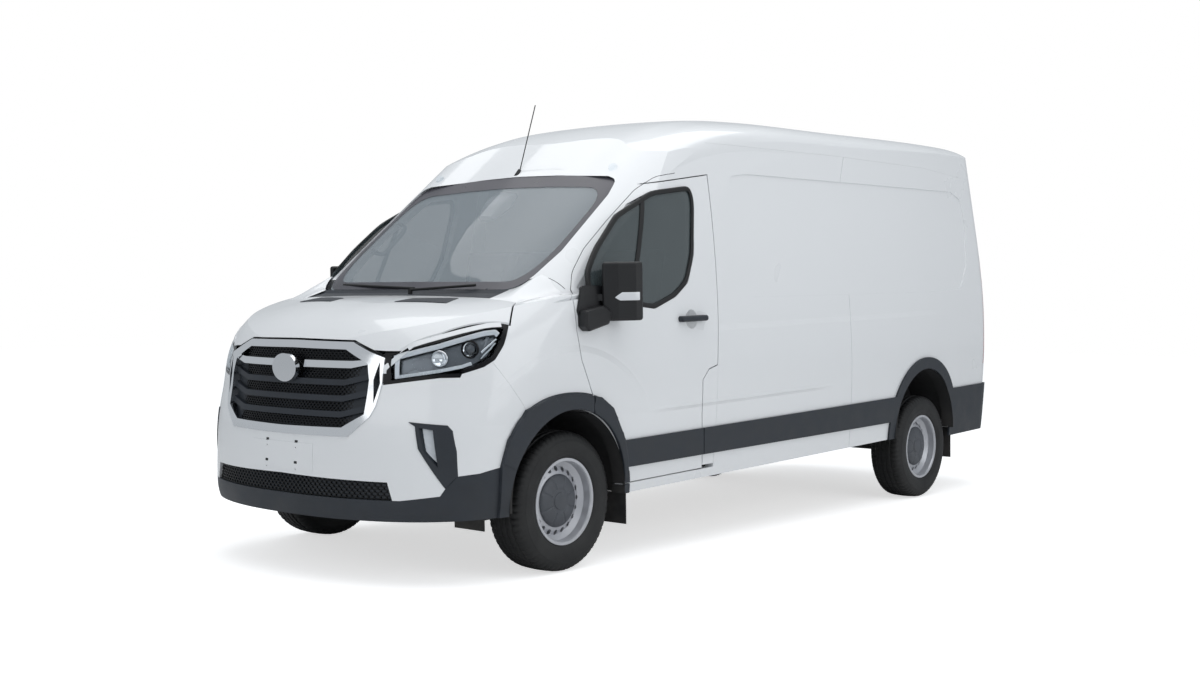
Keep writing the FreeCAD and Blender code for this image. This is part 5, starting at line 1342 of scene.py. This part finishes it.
bumper_skin = skin_of("front_bumper")
for side, x in (("right", -0.110), ("left", 0.110)):
    for row, z in (("low", 0.593), ("high", 0.694)):
        pad("plate_slot_%s_%s" % (side, row), (x, BUMPER_AHEAD, z), (0.024, 0.014), bumper_skin,
            "front", 0.001, black_plastic, "van", "dark_plastic")

# %% [markdown]
# The flare over the front wheel has a smooth outer line. The rigid cladding is
# cut by straight edges, so a thin band is laid over it, in polar coordinates
# about the arch: for each angle, points run from the arch to the eased outer
# line. The seam between wing and door is upright, so there the angle is chosen
# point by point to hold the seam at one y.

# %% Wheel arch flares
FLARE = [(-2.443, 0.560), (-2.436, 0.620), (-2.406, 0.712), (-2.345, 0.800), (-2.250, 0.858),
         (-2.120, 0.893), (-2.000, 0.899), (-1.880, 0.893), (-1.752, 0.864), (-1.655, 0.802),
         (-1.590, 0.712), (-1.535, 0.600), (-1.498, 0.440), (-1.490, 0.372)]
ARCH_RADIUS, SEAM_RADIUS = 0.430, 0.512
BAND_SHARES = np.array([0.0, 0.0, 0.08, 0.3, 0.5, 0.7, 0.93, 1.0, 1.0])
BAND_LIFT = np.array([-0.004, 0.0015, 0.003, 0.003, 0.003, 0.003, 0.003, 0.0015, -0.002])
flare_skin = skin_of("side_cladding", "door_cladding_left", "door_left", "fenders",
                     "front_bumper", "side_left", "bumper_skirt")


def flare_band(outer, centre, radius, start, stop, count):
    """A smooth band between an arch and its outer line, over (along, across), laid on the side.
    Each end is an angle about the arch's centre, or, below zero, the upright seam at that y."""
    line = eased(outer, 0.01, 60, closed=False)
    bearing = np.degrees(np.arctan2(line[:, 1] - centre[1], line[:, 0] - centre[0]))
    reach = np.hypot(line[:, 0] - centre[0], line[:, 1] - centre[1]) + 0.004
    order = np.argsort(bearing)
    inner = radius + 0.0015
    seam = inner + (SEAM_RADIUS - radius) * BAND_SHARES
    first, last = (np.degrees(np.arccos((e - centre[0]) / seam)) if e < 0
                   else np.full(len(seam), float(e)) for e in (start, stop))
    part = spaced(0, 1, count)
    angle = first[None, :] * (1 - part) + last[None, :] * part
    far = np.interp(angle, bearing[order], reach[order])
    out = inner * (1 - BAND_SHARES)[None, :] + far * BAND_SHARES[None, :]
    turn = np.radians(angle)
    spots, _ = laid(np.stack([np.full(out.shape, OUT_LEFT), centre[0] + out * np.cos(turn),
                              centre[1] + out * np.sin(turn)], axis=2), flare_skin, "side")
    furthest = spots[..., 0].max(axis=1, keepdims=True)
    spots[..., 0] = np.maximum(spots[..., 0], furthest - 0.012) + BAND_LIFT[None, :]
    return spots


for name, start, stop, count, bodies in (("flare_wing", -1.810, 156, 80, VAN),
                                         ("flare_door", 3, -1.803, 60, DOORS)):
    both_sides(name, flare_band(FLARE, FRONT_CENTRE, ARCH_RADIUS, start, stop, count),
               dark_plastic, bodies, "dark_plastic")

# %% [markdown]
# Behind the left cab door a flap covers the filler. The right side has a fixed
# panel in the same place. Its bulge is fitted to the flap and then mirrored, so
# both sides of the van curve alike.

# %% Panel behind the right door
STEP_EDGE = np.array([(-0.829, 0.410), (-0.857, 0.700), (-0.857, 0.885), (-0.800, 0.940),
                      (-0.715, 0.960)])
DOOR_GAP, PANEL_THICKNESS = 0.0035, 0.0025

y, z = (a.ravel() for a in np.meshgrid(np.linspace(-0.82, -0.74, 6), np.linspace(0.44, 0.90, 10)))
spots, _ = laid(np.column_stack([np.full(60, OUT_LEFT), y, z]), skin_of("filler_flap"), "side")
factors = np.linalg.lstsq(np.column_stack([np.ones(60), y, z, z ** 2]), spots[:, 0],
                          rcond=None)[0]
z, share = spaced(0.4115, 0.957, 44), spaced(0, 1, 12, row=True)
y = ((np.interp(z, STEP_EDGE[:, 1], STEP_EDGE[:, 0]) + DOOR_GAP) * (1 - share)
     + (np.interp(z, (0.410, 0.960), (-0.728, -0.715)) - 0.0010) * share)
x = factors[0] + factors[1] * y + factors[2] * z + factors[3] * z ** 2
outer_face = np.stack([-x, y, z + 0 * y], axis=2)
inner_face = outer_face[:, ::-1] + np.array([PANEL_THICKNESS, 0.0, 0.0])
grid_piece("step_panel_right", tipped(np.concatenate([outer_face, inner_face], axis=1)),
           white_paint, "van", "body_white", **RUN)

# %% [markdown]
# Two fine seams run up the pillar: one at the door's edge and one where the
# wing ends. They could be cut into the paint, but a dark strip under a
# millimetre high reads the same from a few steps away. The pillar leans in two
# directions, so its closest place to each point is taken, not a ray's.

# %% Pillar and wing seams
PILLAR_SEAM = [(0.95, -1.850, 1.400), (0.89, -1.790, 1.478), (0.883, -1.772, 1.500),
               (0.862, -1.660, 1.610), (0.858, -1.457, 1.764), (0.862, -1.233, 1.925),
               (0.886, -1.099, 1.993), (0.908, -0.934, 2.023)]
WING_SEAM = [(0.812, -1.915, 1.474), (0.845, -1.893, 1.458), (0.873, -1.875, 1.437),
             (0.903, -1.856, 1.407)]
pillar_skin = skin_of("cab_roof", "fenders", "door_left")


def nearest(points, tree):
    """The closest places on a skin to level-body points, with normals that face outwards."""
    found = [tree.find_nearest(Vector(p))[:2] for p in tipped(points)]
    spots = np.array([list(s) for s, _ in found])
    normals = np.array([list(n) for _, n in found])
    return spots, normals * np.where(normals[:, :1] < 0, -1.0, 1.0)


for name, line in (("pillar_seam", PILLAR_SEAM), ("wing_seam", WING_SEAM)):
    path, ups = nearest(eased(line, 0.012, 3, closed=False), pillar_skin)
    both_sides(name, strip(path, ups, flat_bar(0.0016, -0.0015, 0.0006, 0.0003)), seam_black,
               VAN, "dark_plastic", **RUN)

# %% [markdown]
# The floor shows as white to the camera but keeps the van's shadow. A pure
# emitter would hide the shadow, so a matt floor glows a little, and only for
# camera rays: no extra light reaches the van.

# %% Studio floor
FLOOR_HALF = 30.0
FLOOR_GLOW = 0.62

floor_data = bpy.data.meshes.new("StudioFloor")
floor_data.from_pydata([(x * FLOOR_HALF, y * FLOOR_HALF, 0)
                        for x, y in ((-1, -1), (1, -1), (1, 1), (-1, 1))], [], [(0, 1, 2, 3)])
studio_floor = bpy.data.objects.new("StudioFloor", floor_data)
scene.collection.objects.link(studio_floor)
floor_paint, tree, shader = new_material("StudioFloor", Roughness=0.9, Specular_IOR_Level=0.0)
shader["Base Color"].default_value = (0.82, 0.82, 0.82, 1)
shader["Emission Color"].default_value = (1, 1, 1, 1)
rays = tree.nodes.new("ShaderNodeLightPath")
feed(tree, shader["Emission Strength"],
     number(tree, "MULTIPLY", rays.outputs["Is Camera Ray"], FLOOR_GLOW))
floor_data.materials.append(floor_paint)
print("floor:", 2 * FLOOR_HALF, "m square")
